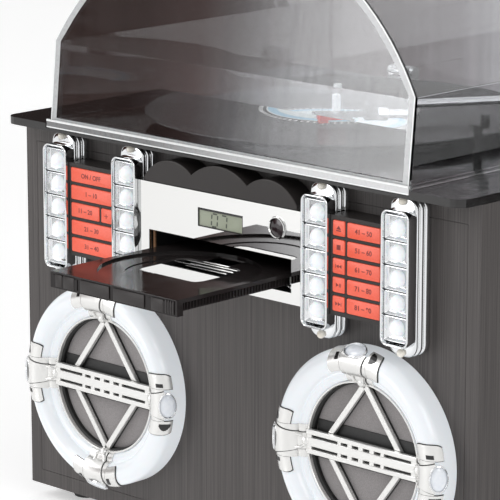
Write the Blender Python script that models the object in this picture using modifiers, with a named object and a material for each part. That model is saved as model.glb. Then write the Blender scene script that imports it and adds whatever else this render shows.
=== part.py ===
"""Table-top jukebox: wood cabinet with a disc tray, chrome light strips, two ring lights, and a
turntable under an arched clear lid. Metres, +Z up, the front faces -Y and +X is the viewer's right."""

from math import acos, atan2, cos, hypot, pi, radians, sin, tan

import bmesh
import bpy
from mathutils import Matrix, Vector

for old in list(bpy.data.objects):
    bpy.data.objects.remove(old, do_unlink=True)

GAP = 0.0003  # between pieces that touch
OVER = 0.002  # how far a cutter runs past the face that it opens
MERGE = 0.00001  # points nearer than this are one point
SMOOTH_ANGLE = radians(35)  # a sharper edge than this stays an edge

# How finely round pieces are cut
PIN_SIDES = 12
POST_SIDES = 16
WHEEL_SIDES = 24
PLATTER_SIDES = 32
RING_STEPS = 40
RECORD_SIDES = 48
CORNER_STEPS = 2
SMALL_CORNER_STEPS = 1

# The record decides how wide and deep the lid and the cabinet are
RECORD_RADIUS = 0.151
RECORD_THICKNESS = 0.0016
RECORD_SIDE_AIR = 0.0065  # between the record and the lid's left side
RECORD_FRONT_AIR = 0.0095
RECORD_BACK_AIR = 0.013
SPINDLE_X = -0.027
LID_SETBACK = 0.0055  # behind the front of the bulb strips
LID_SIDE_LEDGE = 0.0505
LID_BACK_LEDGE = 0.015  # the hinges stand here
LIGHTS_REACH = 0.025  # from the front board to the front of the bulb strips
LID_HALF = RECORD_RADIUS - SPINDLE_X + RECORD_SIDE_AIR
LID_DEPTH = RECORD_RADIUS * 2 + RECORD_FRONT_AIR + RECORD_BACK_AIR
CABINET_WIDTH = (LID_HALF + LID_SIDE_LEDGE) * 2
CABINET_DEPTH = LID_SETBACK + LID_DEPTH + LID_BACK_LEDGE - LIGHTS_REACH

# The bulb strips over the ring lights decide how tall the cabinet is
PLINTH_HALF = 0.0580
PLINTH_AIR = 0.0005  # between the strips' plinths and the cabinet's top
TUBE_CENTRE = 0.0705
RING_AIR = 0.011
RING_LEDGE = 0.0315
FOOT_HEIGHT = 0.012
LIGHTS_DROP = PLINTH_HALF + PLINTH_AIR
RING_DROP = PLINTH_HALF + TUBE_CENTRE + RING_AIR  # below the middle of the bulb strips
CABINET_HEIGHT = LIGHTS_DROP + RING_DROP + TUBE_CENTRE + RING_LEDGE

# The cabinet and the planes that the rest is placed from
CABINET_WALL = 0.012
BOARD_THICKNESS = 0.012
RAIL_HEIGHT = 0.0155
BACK_LEDGE = 0.010
WELL_SIDE_LEDGE = 0.050
WELL_FRONT_LEDGE = 0.024
WELL_BACK_LEDGE = 0.036
FOOT_RADIUS = 0.013
FOOT_INSET = 0.032
FOOT_TAPER_SHARE = 0.85
TRAY_REACH = 0.105  # from the front of the bulb strips to the open tray's front edge
LIP_PANEL_RISE = 0.0006  # the raised panels stand this far in front of that edge

FRONT = (TRAY_REACH + LIP_PANEL_RISE - LIGHTS_REACH - CABINET_DEPTH) / 2
BOARD_Y = FRONT + LIGHTS_REACH
BACK_Y = BOARD_Y + CABINET_DEPTH
CABINET_TOP = FOOT_HEIGHT + CABINET_HEIGHT
LIGHTS_Z = CABINET_TOP - LIGHTS_DROP
INNER_X = CABINET_WIDTH / 2 - CABINET_WALL
INNER_FLOOR = FOOT_HEIGHT + CABINET_WALL
SEAM_Z = CABINET_TOP - RAIL_HEIGHT
BOARD_BACK = BOARD_Y + BOARD_THICKNESS

# The deck and the turntable
DECK_THICKNESS = 0.006
DECK_OVERHANG = 0.0225
DECK_CORNER = 0.010
DECK_CORNER_STEPS = 4
DECK_BOTTOM = CABINET_TOP + GAP
DECK_TOP = DECK_BOTTOM + DECK_THICKNESS
SPINDLE_Y = FRONT + LID_SETBACK + RECORD_FRONT_AIR + RECORD_RADIUS
SPINDLE_RADIUS = 0.00355
SPINDLE_RISE = 0.0200
SPINDLE_TIP_SHARE = 0.6
SHAFT_LENGTH = 0.016
BEARING_RADIUS = 0.009
BEARING_RISE = 0.0022
PLATTER_EDGE = 0.051  # the record reaches this far past it
PLATTER_RADIUS = RECORD_RADIUS - PLATTER_EDGE
PLATTER_RAISE = 0.0043
PLATTER_THICKNESS = 0.0040
DRUM_INSET = 0.0195
DRUM_RADIUS = PLATTER_RADIUS - DRUM_INSET
DRUM_WALL = 0.0025
DRUM_CLEARANCE = 0.0008
PULLEY_RADIUS = 0.0060
PULLEY_AIR = 0.0025
PULLEY_DISTANCE = DRUM_RADIUS + PULLEY_RADIUS + PULLEY_AIR
PULLEY_BEARING = radians(135)
BELT_THICKNESS = 0.0008
BELT_HEIGHT = 0.0024
BELT_DRUM_STEPS = 54  # fine enough for its flats to clear the turning drum
BELT_WHEEL_STEPS = 6
RECORD_TOP = DECK_TOP + PLATTER_RAISE + PLATTER_THICKNESS + GAP + RECORD_THICKNESS

# The tonearm
ARM_SIDE_AIR = 0.006  # from the record's right edge to the pivot
ARM_BACK_SHARE = 0.78808  # how far behind the spindle the pivot is, of the record's radius
ARM_PIVOT_X = SPINDLE_X + RECORD_RADIUS + ARM_SIDE_AIR
ARM_PIVOT_Y = SPINDLE_Y + RECORD_RADIUS * ARM_BACK_SHARE
ARM_ANGLE = radians(-121.9)
ARM_HEIGHT = 0.0145  # tube's axis above the record
STYLUS_OVERHANG = 0.019  # past the spindle when the arm points at it
ARM_LENGTH = hypot(ARM_PIVOT_X - SPINDLE_X, ARM_PIVOT_Y - SPINDLE_Y) + STYLUS_OVERHANG  # pivot to stylus
ARM_RADIUS = 0.0033
ARM_Z = RECORD_TOP + ARM_HEIGHT

# The lid
LID_SIDE = 0.064
LID_WALL = 0.0025
LID_ARCH_LEAN = radians(29.5)
LID_ARCH_STEPS = 20
LID_RAKE = radians(5.5)
LID_FRONT = FRONT + LID_SETBACK
LID_BACK = LID_FRONT + LID_DEPTH
LID_RECESS = 0.0015
LID_BORDER = 0.006
FLANGE_HEIGHT = 0.003
FLANGE_REACH = 0.0025
APRON_THICKNESS = 0.0043  # the flange's front edge, which hangs into the deck's sill
SILL_THICKNESS = 0.0024
SILL_CLEARANCE = 0.0006
SILL_BACK = LID_FRONT - FLANGE_REACH + APRON_THICKNESS + SILL_CLEARANCE
SILL_HALF = LID_HALF + FLANGE_REACH + SILL_CLEARANCE
LID_BASE = DECK_TOP + GAP
HINGE_SHARE = 0.5962  # of the lid's half width
HINGE_X = LID_HALF * HINGE_SHARE
HINGE_BEHIND = 0.0085
HINGE_RISE = 0.0095
HINGE_LEAF = 0.0055  # from the hinge's axis to its back edge
HINGE_Y = LID_BACK + HINGE_BEHIND
HINGE_Z = DECK_TOP + HINGE_RISE
HINGE_PIN = 0.0020
LUG_RADIUS = 0.0048
LUG_WIDTH = 0.016
WEB_SHARE = 0.6
EAR_WIDTH = 0.004
EAR_BASE = 0.003
EAR_SHARE = 0.8

# The disc decides how wide the tray, its slot and the fascia are
DISC_RADIUS = 0.0608
DISC_RECESS = 0.0016
DISC_SIDE_LEDGE = 0.0052
DISC_FRONT_LEDGE = 0.0012
DISC_BACK_LEDGE = 0.0212
SMALL_DISC_RADIUS = 0.0410
SMALL_DISC_RECESS = 0.0006
TRAY_LIP_HEIGHT = 0.0123
TRAY_LIP_DEPTH = 0.006
TRAY_HALF = DISC_RADIUS + DISC_SIDE_LEDGE
DISC_CENTRE = TRAY_LIP_DEPTH + DISC_FRONT_LEDGE + DISC_RADIUS  # behind the tray's front edge
TRAY_LENGTH = DISC_CENTRE + DISC_RADIUS + DISC_BACK_LEDGE
TRAY_TOP = -0.0152
TRAY_PLATE = 0.003
SKIRT_INSET = 0.0045
SKIRT_OUTER = TRAY_HALF - SKIRT_INSET
SKIRT_WALL = 0.0035
SKIRT_BOTTOM = -0.0255
TOOTH_MODULE = 0.0010
GEAR_TEETH = 10
RACK_START = 0.006
RACK_END_LEDGE = 0.0306
RACK_TEETH = round((TRAY_LENGTH - RACK_END_LEDGE) / (pi * TOOTH_MODULE))
GEAR_BEHIND = 0.018
GEAR_PLACE = FRONT + GEAR_BEHIND

# The fascia, its slot, display and eye, and the crest
SLOT_AIR = 0.008
SLOT_HALF = TRAY_HALF + SLOT_AIR
SLOT_TOP = -0.0026
SLOT_BOTTOM = -0.0278
FASCIA_BORDER = 0.0118
FASCIA_HALF = SLOT_HALF + FASCIA_BORDER
FASCIA_TOP = 0.0342
FASCIA_BOTTOM = -0.0363
FACE_DEPTH = 0.004  # the fascia and key panels lie this far behind the bulb strips
FASCIA_SHEET = 0.002
WINDOW_X = 0.0016
WINDOW_DROP = 0.0192
WINDOW_Z = FASCIA_TOP - WINDOW_DROP
WINDOW_WIDTH = 0.0467
WINDOW_HEIGHT = 0.0144
EYE_INSET = 0.026
EYE_DROP = 0.0154
EYE_X = FASCIA_HALF - EYE_INSET
EYE_Z = FASCIA_TOP - EYE_DROP
EYE_RADIUS = 0.0070
EYE_RIM = 0.0017
CREST_INSET = 0.0063
CREST_HALF = FASCIA_HALF - CREST_INSET
CREST_FOOT = FASCIA_TOP + GAP

# The bulb strips: two beside the fascia, two beyond the key panels
STRIP_WIDTH = 0.026
STRIP_INSET = 0.0085
STRIP_HALF = PLINTH_HALF - STRIP_INSET
STRIP_CORNER = 0.006
TROUGH_DEPTH = 0.010
TROUGH_WALL = 0.0016
TROUGH_FLOOR = 0.002
BULB_COUNT = 5
BULB_END_AIR = 0.004125
BULB_PITCH = (STRIP_HALF - BULB_END_AIR) * 2 / BULB_COUNT
BULB_RADIUS = 0.0065
BULB_SIDES = 8
BULB_RINGS = 3
BULB_BAR_THICKNESS = 0.002
PLINTH_CORNER = 0.009
PEARL_RADIUS = 0.0035
PEARL_INSET = 0.0031
PEARL_RISE = PLINTH_HALF - PEARL_INSET
PEARL_RINGS = 4

# The key panels: they share the front's free width with the bare board beyond the outer strips
PANEL_SHARE = 0.5239
PANEL_INNER = FASCIA_HALF + GAP + STRIP_WIDTH + GAP
PANEL_WIDTH = (CABINET_WIDTH / 2 - PANEL_INNER - STRIP_WIDTH - GAP) * PANEL_SHARE
PANEL_OUTER = PANEL_INNER + PANEL_WIDTH
PANEL_INSET_Z = 0.0211
PANEL_HALF = PLINTH_HALF - PANEL_INSET_Z
PANEL_SHEET = 0.0025
STRIP_INNER_X = FASCIA_HALF + GAP + STRIP_WIDTH / 2
STRIP_OUTER_X = PANEL_OUTER + GAP + STRIP_WIDTH / 2
STRIP_PLACES = (-STRIP_OUTER_X, -STRIP_INNER_X, STRIP_INNER_X, STRIP_OUTER_X)
KEY_ROWS = 5
KEY_END_AIR = 0.00215
KEY_ROW_AIR = 0.0020
KEY_PITCH = (PANEL_HALF - KEY_END_AIR) * 2 / KEY_ROWS
KEY_HEIGHT = KEY_PITCH - KEY_ROW_AIR
KEY_INNER_BORDER = 0.0024
KEY_OUTER_BORDER = 0.00225
KEY_INNER = PANEL_INNER + KEY_INNER_BORDER
KEY_OUTER = PANEL_OUTER - KEY_OUTER_BORDER
KEY_SMALL_SHARE = 0.2664
KEY_SMALL = (KEY_OUTER - KEY_INNER) * KEY_SMALL_SHARE
KEY_SPLIT = 0.0016
KEY_PROUD = 0.0006
KEY_RIM = 0.0007
KEY_BASE = 0.0018
KEY_CLEARANCE = 0.0003

# The ring lights and speakers
RING_X_SHARE = 0.29  # of the cabinet's width
RING_X = CABINET_WIDTH * RING_X_SHARE
RING_Z = LIGHTS_Z - RING_DROP
TUBE_RADIUS = 0.0095
TUBE_HEIGHT = 0.0130
TUBE_STEPS = 6
STEP_INSET = 0.0105
STEP_CENTRE = TUBE_CENTRE - STEP_INSET
STEP_RADIUS = 0.0050
STEP_HEIGHT = 0.0095
STEP_STEPS = 2
SPEAKER_INSET = 0.0155
SPEAKER_HOLE = TUBE_CENTRE - SPEAKER_INSET
TRIM_CLEARANCE = 0.0005
TRIM_SHEET = 0.0015
TRIM_OUTER = SPEAKER_HOLE - TRIM_CLEARANCE
TRIM_INNER = TRIM_OUTER - TRIM_SHEET
TRIM_FRONT = 0.0125
TRIM_BACK = -0.0045
CLAMP_SHEET = 0.0020
CLAMP_HALF = 0.0125
BAND_HALF = 0.0092
BAND_FRONT = 0.0140
BAND_THICKNESS = 0.0035
BAR_WIDTH = 0.0046
BAR_FRONT = 0.0102
BAR_THICKNESS = 0.0035
DIAMOND_INSET = 0.0130
DIAMOND_TALL = TRIM_INNER
DIAMOND_WIDE = TRIM_INNER - DIAMOND_INSET
CLOTH_CLEARANCE = 0.0004
CLOTH_RADIUS = SPEAKER_HOLE - CLOTH_CLEARANCE
CLOTH_BACK = 0.0070  # behind the board's face
CLOTH_THICKNESS = 0.0015

parts = bpy.data.collections.new("jukebox")
cutters = bpy.data.collections.new("cutters")
bpy.context.scene.collection.children.link(parts)
bpy.context.scene.collection.children.link(cutters)

FLAT = Matrix.Identity(4)
FACING = Matrix(((1, 0, 0, 0), (0, 0, -1, 0), (0, 1, 0, 0), (0, 0, 0, 1)))  # u to +X, v to +Z, w to -Y


def depth(behind):
    """The Y of a plane this far behind the front of the bulb strips."""
    return FRONT + behind


def material(name, colour, roughness, metallic=0.0):
    made = bpy.data.materials.new(name)
    made.use_nodes = True
    shader = made.node_tree.nodes["Principled BSDF"]
    shader.inputs["Base Color"].default_value = (*colour, 1)
    shader.inputs["Roughness"].default_value = roughness
    shader.inputs["Metallic"].default_value = metallic
    return made


MATERIALS = {
    "wood": material("black wood", (0.045, 0.040, 0.039), 0.5),
    "black": material("black plastic", (0.015, 0.015, 0.016), 0.3),
    "chrome": material("chrome", (0.85, 0.86, 0.88), 0.06, 1.0),
    "clear": material("clear acrylic", (0.85, 0.88, 0.90), 0.05),
    "glow": material("white diffuser", (0.90, 0.92, 0.95), 0.15),
    "red": material("coral keys", (0.90, 0.14, 0.07), 0.35),
    "screen": material("display glass", (0.32, 0.35, 0.26), 0.2),
    "vinyl": material("record vinyl", (0.012, 0.012, 0.013), 0.2),
    "cloth": material("grey cloth", (0.26, 0.24, 0.24), 0.9),
    "steel": material("steel", (0.55, 0.55, 0.56), 0.3, 1.0),
    "rubber": material("rubber", (0.02, 0.02, 0.02), 0.8),
    "board": material("green board", (0.03, 0.16, 0.06), 0.5),
}


def place(name, mesh, matrix=None):
    """Puts a mesh into the scene as a part."""
    made = bpy.data.objects.new(name, mesh)
    if matrix is not None:
        made.matrix_world = matrix
    parts.objects.link(made)
    return made


def evaluated_mesh(source):
    bpy.context.view_layer.update()
    graph = bpy.context.evaluated_depsgraph_get()
    return bpy.data.meshes.new_from_object(source.evaluated_get(graph))


def block(name, across, along, up):
    """A box between two X, two Y and two Z values."""
    form = bmesh.new()
    bmesh.ops.create_cube(form, size=1)
    spans = [high - low for low, high in (across, along, up)]
    middles = [(high + low) / 2 for low, high in (across, along, up)]
    grown = Matrix.Translation(middles) @ Matrix.Diagonal((*spans, 1))
    bmesh.ops.transform(form, matrix=grown, verts=form.verts)
    mesh = bpy.data.meshes.new(name)
    form.to_mesh(mesh)
    form.free()
    return place(name, mesh)


def rod(name, radius, length, centre, axis="Z", sides=WHEEL_SIDES):
    """A cylinder round X, Y or Z."""
    turn = {"X": Matrix.Rotation(pi / 2, 4, "Y"), "Y": Matrix.Rotation(pi / 2, 4, "X"), "Z": FLAT}[axis]
    form = bmesh.new()
    bmesh.ops.create_cone(
        form, cap_ends=True, segments=sides, radius1=radius, radius2=radius, depth=length
    )
    bmesh.ops.transform(form, matrix=Matrix.Translation(centre) @ turn, verts=form.verts)
    mesh = bpy.data.meshes.new(name)
    form.to_mesh(mesh)
    form.free()
    return place(name, mesh)


def ball(name, radius, centre, around, up):
    form = bmesh.new()
    bmesh.ops.create_uvsphere(form, u_segments=around, v_segments=up, radius=radius)
    bmesh.ops.transform(form, matrix=Matrix.Translation(centre), verts=form.verts)
    mesh = bpy.data.meshes.new(name)
    form.to_mesh(mesh)
    form.free()
    return place(name, mesh)


def sheet(name, outlines, thickness, matrix):
    """A flat piece with any holes, its thickness centred on the plane of the matrix."""
    curve = bpy.data.curves.new(name, "CURVE")
    curve.dimensions = "2D"
    curve.fill_mode = "BOTH"
    curve.extrude = thickness / 2
    for outline in outlines:
        spline = curve.splines.new("POLY")
        spline.points.add(len(outline) - 1)
        for point, (u, v) in zip(spline.points, outline):
            point.co = (u, v, 0, 1)
        spline.use_cyclic_u = True
    guide = place(name, curve)
    mesh = evaluated_mesh(guide)
    bpy.data.objects.remove(guide, do_unlink=True)
    form = bmesh.new()
    form.from_mesh(mesh)
    bmesh.ops.remove_doubles(form, verts=form.verts, dist=MERGE)
    bmesh.ops.transform(form, matrix=matrix, verts=form.verts)
    bmesh.ops.recalc_face_normals(form, faces=form.faces)
    form.to_mesh(mesh)
    form.free()
    return place(name, mesh)


def front_sheet(name, outlines, near, far):
    """A flat piece drawn in X and Z, from one Y to another."""
    return sheet(name, outlines, far - near, Matrix.Translation((0, (near + far) / 2, 0)) @ FACING)


def level_sheet(name, outlines, low, high):
    """A flat piece drawn in X and Y, from one Z to another."""
    return sheet(name, outlines, high - low, Matrix.Translation((0, 0, (low + high) / 2)))


def turned(name, profile, matrix, steps=PLATTER_SIDES, closed=False):
    """A profile of (radius, height) pairs, top to bottom on its outer side, turned round the axis."""
    form = bmesh.new()
    points = [form.verts.new((radius, 0, height)) for radius, height in profile]
    for first, second in zip(points, points[1:]):
        form.edges.new((first, second))
    if closed:
        form.edges.new((points[-1], points[0]))
    mesh = bpy.data.meshes.new(name)
    form.to_mesh(mesh)
    form.free()
    made = place(name, mesh, matrix)
    screw = made.modifiers.new("turn", "SCREW")
    screw.steps = screw.render_steps = steps
    screw.use_merge_vertices = True
    screw.merge_threshold = MERGE
    return baked(made)


def baked(source):
    """The same object with its modifiers and place written into its mesh."""
    mesh = evaluated_mesh(source)
    mesh.transform(source.matrix_world)
    source.modifiers.clear()
    source.data = mesh
    source.matrix_world = FLAT
    return source


def shape(body, operation, tools):
    """Cuts, joins or trims a body with the tools, which stay behind as hidden wires."""
    for tool in tools:
        made = body.modifiers.new(operation.lower(), "BOOLEAN")
        made.operation = operation
        made.object = tool
        parts.objects.unlink(tool)
        cutters.objects.link(tool)
        tool.hide_render = True
        tool.display_type = "WIRE"
    return baked(body)


def cut(body, *tools):
    return shape(body, "DIFFERENCE", tools)


def join(body, *tools):
    return shape(body, "UNION", tools)


def trim(body, tool):
    return shape(body, "INTERSECT", [tool])


def arc(centre, radius, start, end, steps):
    """Points of an arc in a drawing, both ends included."""
    angles = [start + (end - start) * step / steps for step in range(steps + 1)]
    return [(centre[0] + radius * cos(angle), centre[1] + radius * sin(angle)) for angle in angles]


def crossing(first, first_radius, second, second_radius):
    """The angles, seen from each centre, of the upper point where two circles cross."""
    across, up = second[0] - first[0], second[1] - first[1]
    apart = hypot(across, up)
    along = (apart**2 + first_radius**2 - second_radius**2) / (2 * apart)
    angle = atan2(up, across) + acos(along / first_radius)
    x, y = first[0] + first_radius * cos(angle), first[1] + first_radius * sin(angle)
    return angle, atan2(y - second[1], x - second[0])


def rounded(left, right, low, high, radius, steps=CORNER_STEPS):
    """A rectangle with round corners."""
    corners = (
        ((right - radius, high - radius), 0),
        ((left + radius, high - radius), pi / 2),
        ((left + radius, low + radius), pi),
        ((right - radius, low + radius), 3 * pi / 2),
    )
    turns = [arc(centre, radius, start, start + pi / 2, steps) for centre, start in corners]
    return [point for turn in turns for point in turn]


def rectangle(left, right, low, high):
    return [(left, low), (right, low), (right, high), (left, high)]


def colour(body, key, angle=SMOOTH_ANGLE):
    body.data.materials.clear()
    body.data.materials.append(MATERIALS[key])
    body.data.shade_smooth()
    body.data.set_sharp_from_angle(angle=angle)
    return body


def copy_to(source, name, offset):
    """Another object with the same mesh, moved."""
    made = bpy.data.objects.new(name, source.data)
    made.location = offset
    parts.objects.link(made)
    return made


def set_origin(body, point):
    """Moves an object's origin onto its joint's axis."""
    body.data.transform(Matrix.Translation(-Vector(point)))
    body.location = Vector(point)


# Cabinet, front board, rear panel and feet
def make_cabinet():
    half = CABINET_WIDTH / 2
    body = block("cabinet", (-half, half), (BOARD_Y, BACK_Y), (FOOT_HEIGHT, CABINET_TOP))
    back_x = INNER_X - BACK_LEDGE
    well_half = INNER_X - WELL_SIDE_LEDGE
    wide = (-INNER_X, INNER_X)
    ceiling = CABINET_TOP - CABINET_WALL
    cut(
        body,
        block("room", wide, (BOARD_BACK, BACK_Y - CABINET_WALL), (INNER_FLOOR, ceiling)),
        block("front opening", wide, (BOARD_Y - OVER, BOARD_BACK + OVER), (INNER_FLOOR, SEAM_Z)),
        block(
            "back opening",
            (-back_x, back_x),
            (BACK_Y - CABINET_WALL - OVER, BACK_Y + OVER),
            (INNER_FLOOR + BACK_LEDGE, ceiling - BACK_LEDGE),
        ),
        block(
            "turntable well",
            (-well_half, well_half),
            (BOARD_BACK + WELL_FRONT_LEDGE, BACK_Y - WELL_BACK_LEDGE),
            (ceiling - OVER, CABINET_TOP + OVER),
        ),
    )
    colour(body, "wood")


def make_front_board():
    edge = INNER_X - GAP
    tall = (INNER_FLOOR + GAP, SEAM_Z - GAP)
    body = block("front_baffle", (-edge, edge), (BOARD_Y, BOARD_BACK - GAP), tall)
    through = BOARD_THICKNESS + OVER * 2
    middle = BOARD_Y + BOARD_THICKNESS / 2
    holes = [
        rod("speaker hole", SPEAKER_HOLE, through, (side * RING_X, middle, RING_Z), "Y", RING_STEPS)
        for side in (-1, 1)
    ]
    opening = CHASSIS_HALF + CHASSIS_CLEARANCE
    holes.append(
        block(
            "tray opening",
            (-opening, opening),
            (BOARD_Y - OVER, BOARD_BACK + OVER),
            (LIGHTS_Z + CHASSIS_BOTTOM - CHASSIS_CLEARANCE, LIGHTS_Z + SLOT_TOP + CHASSIS_CLEARANCE),
        )
    )
    cut(body, *holes)
    colour(body, "wood")


VENT_COUNT = 4
VENT_WIDTH = 0.070
VENT_HEIGHT = 0.005
VENT_PITCH = 0.012
VENT_DROP = 0.107  # below the cabinet's top
VENT_ROUND_SHARE = 0.45
VENT_Z = CABINET_TOP - VENT_DROP
PANEL_INSET = 0.001
PANEL_THICKNESS = 0.004
INLET_INSET = 0.073  # from the cabinet's inner side
INLET_X = INLET_INSET - INNER_X
INLET_Z = 0.062
INLET_WIDTH = 0.030
INLET_HEIGHT = 0.022
INLET_DEPTH = 0.018
INLET_WALL = 0.0025


def make_rear_panel():
    half = INNER_X - BACK_LEDGE - GAP
    low = INNER_FLOOR + BACK_LEDGE + GAP
    high = CABINET_TOP - CABINET_WALL - BACK_LEDGE - GAP
    outer = BACK_Y - PANEL_INSET
    vents = [
        rounded(
            side * VENT_WIDTH - VENT_WIDTH / 2,
            side * VENT_WIDTH + VENT_WIDTH / 2,
            VENT_Z + row * VENT_PITCH,
            VENT_Z + row * VENT_PITCH + VENT_HEIGHT,
            VENT_HEIGHT * VENT_ROUND_SHARE,
            SMALL_CORNER_STEPS,
        )
        for side in (-1, 1)
        for row in range(VENT_COUNT)
    ]
    outline = rectangle(-half, half, low, high)
    body = front_sheet("rear_panel", [outline] + vents, outer - PANEL_THICKNESS, outer)
    wide = INLET_WIDTH / 2
    tall = INLET_HEIGHT / 2
    socket = front_sheet(
        "inlet",
        [rounded(INLET_X - wide, INLET_X + wide, INLET_Z - tall, INLET_Z + tall, INLET_WALL)],
        outer - INLET_DEPTH,
        outer - PANEL_THICKNESS / 2,
    )
    wide = INLET_WIDTH / 2 - INLET_WALL
    tall = INLET_HEIGHT / 2 - INLET_WALL
    hollow = front_sheet(
        "inlet hollow",
        [rounded(INLET_X - wide, INLET_X + wide, INLET_Z - tall, INLET_Z + tall, INLET_WALL)],
        outer - INLET_DEPTH + INLET_WALL,
        outer + OVER,
    )
    join(body, socket)
    cut(body, hollow)
    colour(body, "black")


def make_feet():
    first = None
    for number, (side, end) in enumerate(((-1, -1), (1, -1), (-1, 1), (1, 1)), 1):
        x = side * (CABINET_WIDTH / 2 - FOOT_INSET)
        y = (BOARD_Y + BACK_Y) / 2 + end * (CABINET_DEPTH / 2 - FOOT_INSET)
        if first is None:
            top = FOOT_HEIGHT - GAP
            taper = FOOT_RADIUS * FOOT_TAPER_SHARE
            profile = [(0, top), (FOOT_RADIUS, top), (FOOT_RADIUS, top / 3), (taper, 0), (0, 0)]
            first = colour(turned("foot_1", profile, FLAT, POST_SIDES), "rubber")
            first.location = (x, y, 0)
        else:
            copy_to(first, f"foot_{number}", (x, y, 0))


# Deck with the platter's bearing and the holes for both shafts
def pulley_place():
    return (
        SPINDLE_X + PULLEY_DISTANCE * cos(PULLEY_BEARING),
        SPINDLE_Y + PULLEY_DISTANCE * sin(PULLEY_BEARING),
    )


BORE_CLEARANCE = 0.0004
MOTOR_SHAFT = 0.0015


def make_deck():
    half = CABINET_WIDTH / 2
    near = BOARD_Y - DECK_OVERHANG
    outline = rounded(-half, half, near, BACK_Y, DECK_CORNER, DECK_CORNER_STEPS)
    body = level_sheet("deck", [outline], DECK_BOTTOM, DECK_TOP)
    boss_low = DECK_BOTTOM + DECK_THICKNESS / 2
    boss_high = DECK_TOP + BEARING_RISE
    centre = (SPINDLE_X, SPINDLE_Y, (boss_low + boss_high) / 2)
    join(body, rod("boss", BEARING_RADIUS, boss_high - boss_low, centre))
    x, y = pulley_place()
    reach = (DECK_THICKNESS + BEARING_RISE + OVER) * 2
    bore = SPINDLE_RADIUS + BORE_CLEARANCE
    cut(
        body,
        rod("spindle bore", bore, reach, (SPINDLE_X, SPINDLE_Y, DECK_TOP)),
        rod("motor bore", PULLEY_RADIUS, reach, (x, y, DECK_TOP)),
        block(
            "sill",
            (-SILL_HALF, SILL_HALF),
            (near - OVER, SILL_BACK),
            (DECK_BOTTOM + SILL_THICKNESS, DECK_TOP + OVER),
        ),
    )
    colour(body, "black")


def make_platter():
    low = DECK_TOP + PLATTER_RAISE
    high = low + PLATTER_THICKNESS
    hub = DECK_TOP + BEARING_RISE + GAP
    skirt = DECK_TOP + DRUM_CLEARANCE
    tip = RECORD_TOP + SPINDLE_RISE
    edge = PLATTER_THICKNESS / 4
    tapered = SPINDLE_RADIUS * SPINDLE_TIP_SHARE
    profile = [
        (0, tip),
        (tapered, tip),
        (SPINDLE_RADIUS, tip - tapered),
        (SPINDLE_RADIUS, high),
        (PLATTER_RADIUS - edge, high),
        (PLATTER_RADIUS, high - edge),
        (PLATTER_RADIUS, low),
        (DRUM_RADIUS, low),
        (DRUM_RADIUS, skirt),
        (DRUM_RADIUS - DRUM_WALL, skirt),
        (DRUM_RADIUS - DRUM_WALL, low),
        (BEARING_RADIUS + DRUM_WALL, low),
        (BEARING_RADIUS + DRUM_WALL, hub),
        (SPINDLE_RADIUS, hub),
        (SPINDLE_RADIUS, hub - SHAFT_LENGTH),
        (0, hub - SHAFT_LENGTH),
    ]
    body = turned("platter", profile, FLAT)
    body.location = (SPINDLE_X, SPINDLE_Y, 0)
    colour(body, "rubber")

    low, high = high + GAP, high + GAP + RECORD_THICKNESS
    hole = SPINDLE_RADIUS + BORE_CLEARANCE
    thin = RECORD_THICKNESS / 4
    profile = [
        (hole, high),
        (RECORD_RADIUS - thin, high),
        (RECORD_RADIUS, high - thin),
        (RECORD_RADIUS, low + thin),
        (RECORD_RADIUS - thin, low),
        (hole, low),
    ]
    body = turned("record", profile, FLAT, RECORD_SIDES, closed=True)
    body.location = (SPINDLE_X, SPINDLE_Y, 0)
    colour(body, "vinyl")


MOTOR_RADIUS = 0.017
MOTOR_FLANGE = 0.021
MOTOR_HEIGHT = 0.021
MOTOR_SHEET = 0.002
MOTOR_BORE_DEPTH = 0.008
BELT_LOW = 0.0012


def make_drive():
    """Motor under the deck, its pulley, and the belt to the platter's drum."""
    x, y = pulley_place()
    top = DECK_BOTTOM - GAP
    bore = MOTOR_SHAFT + BORE_CLEARANCE
    profile = [
        (0, top - MOTOR_BORE_DEPTH),
        (bore, top - MOTOR_BORE_DEPTH),
        (bore, top),
        (MOTOR_FLANGE, top),
        (MOTOR_FLANGE, top - MOTOR_SHEET),
        (MOTOR_RADIUS, top - MOTOR_SHEET),
        (MOTOR_RADIUS, top - MOTOR_HEIGHT),
        (0, top - MOTOR_HEIGHT),
    ]
    body = turned("turntable_motor", profile, Matrix.Translation((x, y, 0)), WHEEL_SIDES)
    colour(body, "steel")

    low = DECK_TOP + BELT_LOW
    high = low + BELT_HEIGHT
    groove = PULLEY_RADIUS - BELT_THICKNESS - GAP
    profile = [
        (0, high + GAP * 2),
        (PULLEY_RADIUS, high + GAP * 2),
        (groove, high + GAP),
        (groove, low - GAP),
        (PULLEY_RADIUS, low - GAP * 2),
        (MOTOR_SHAFT, low - GAP * 2),
        (MOTOR_SHAFT, top - MOTOR_BORE_DEPTH + GAP),
        (0, top - MOTOR_BORE_DEPTH + GAP),
    ]
    body = turned("motor_pulley", profile, FLAT, POST_SIDES)
    body.location = (x, y, 0)
    colour(body, "steel")

    def loop(offset):
        """The belt's path round the drum and the pulley, seen from above."""
        large = DRUM_RADIUS + offset
        small = groove + offset
        spread = acos((large - small) / PULLEY_DISTANCE)
        leave, meet = PULLEY_BEARING + spread, PULLEY_BEARING - spread
        drum = arc((SPINDLE_X, SPINDLE_Y), large, leave, meet + 2 * pi, BELT_DRUM_STEPS)
        wheel = arc((x, y), small, meet, leave, BELT_WHEEL_STEPS)
        return drum + wheel

    body = level_sheet("drive_belt", [loop(GAP + BELT_THICKNESS), loop(GAP)], low, high)
    colour(body, "rubber")


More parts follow.
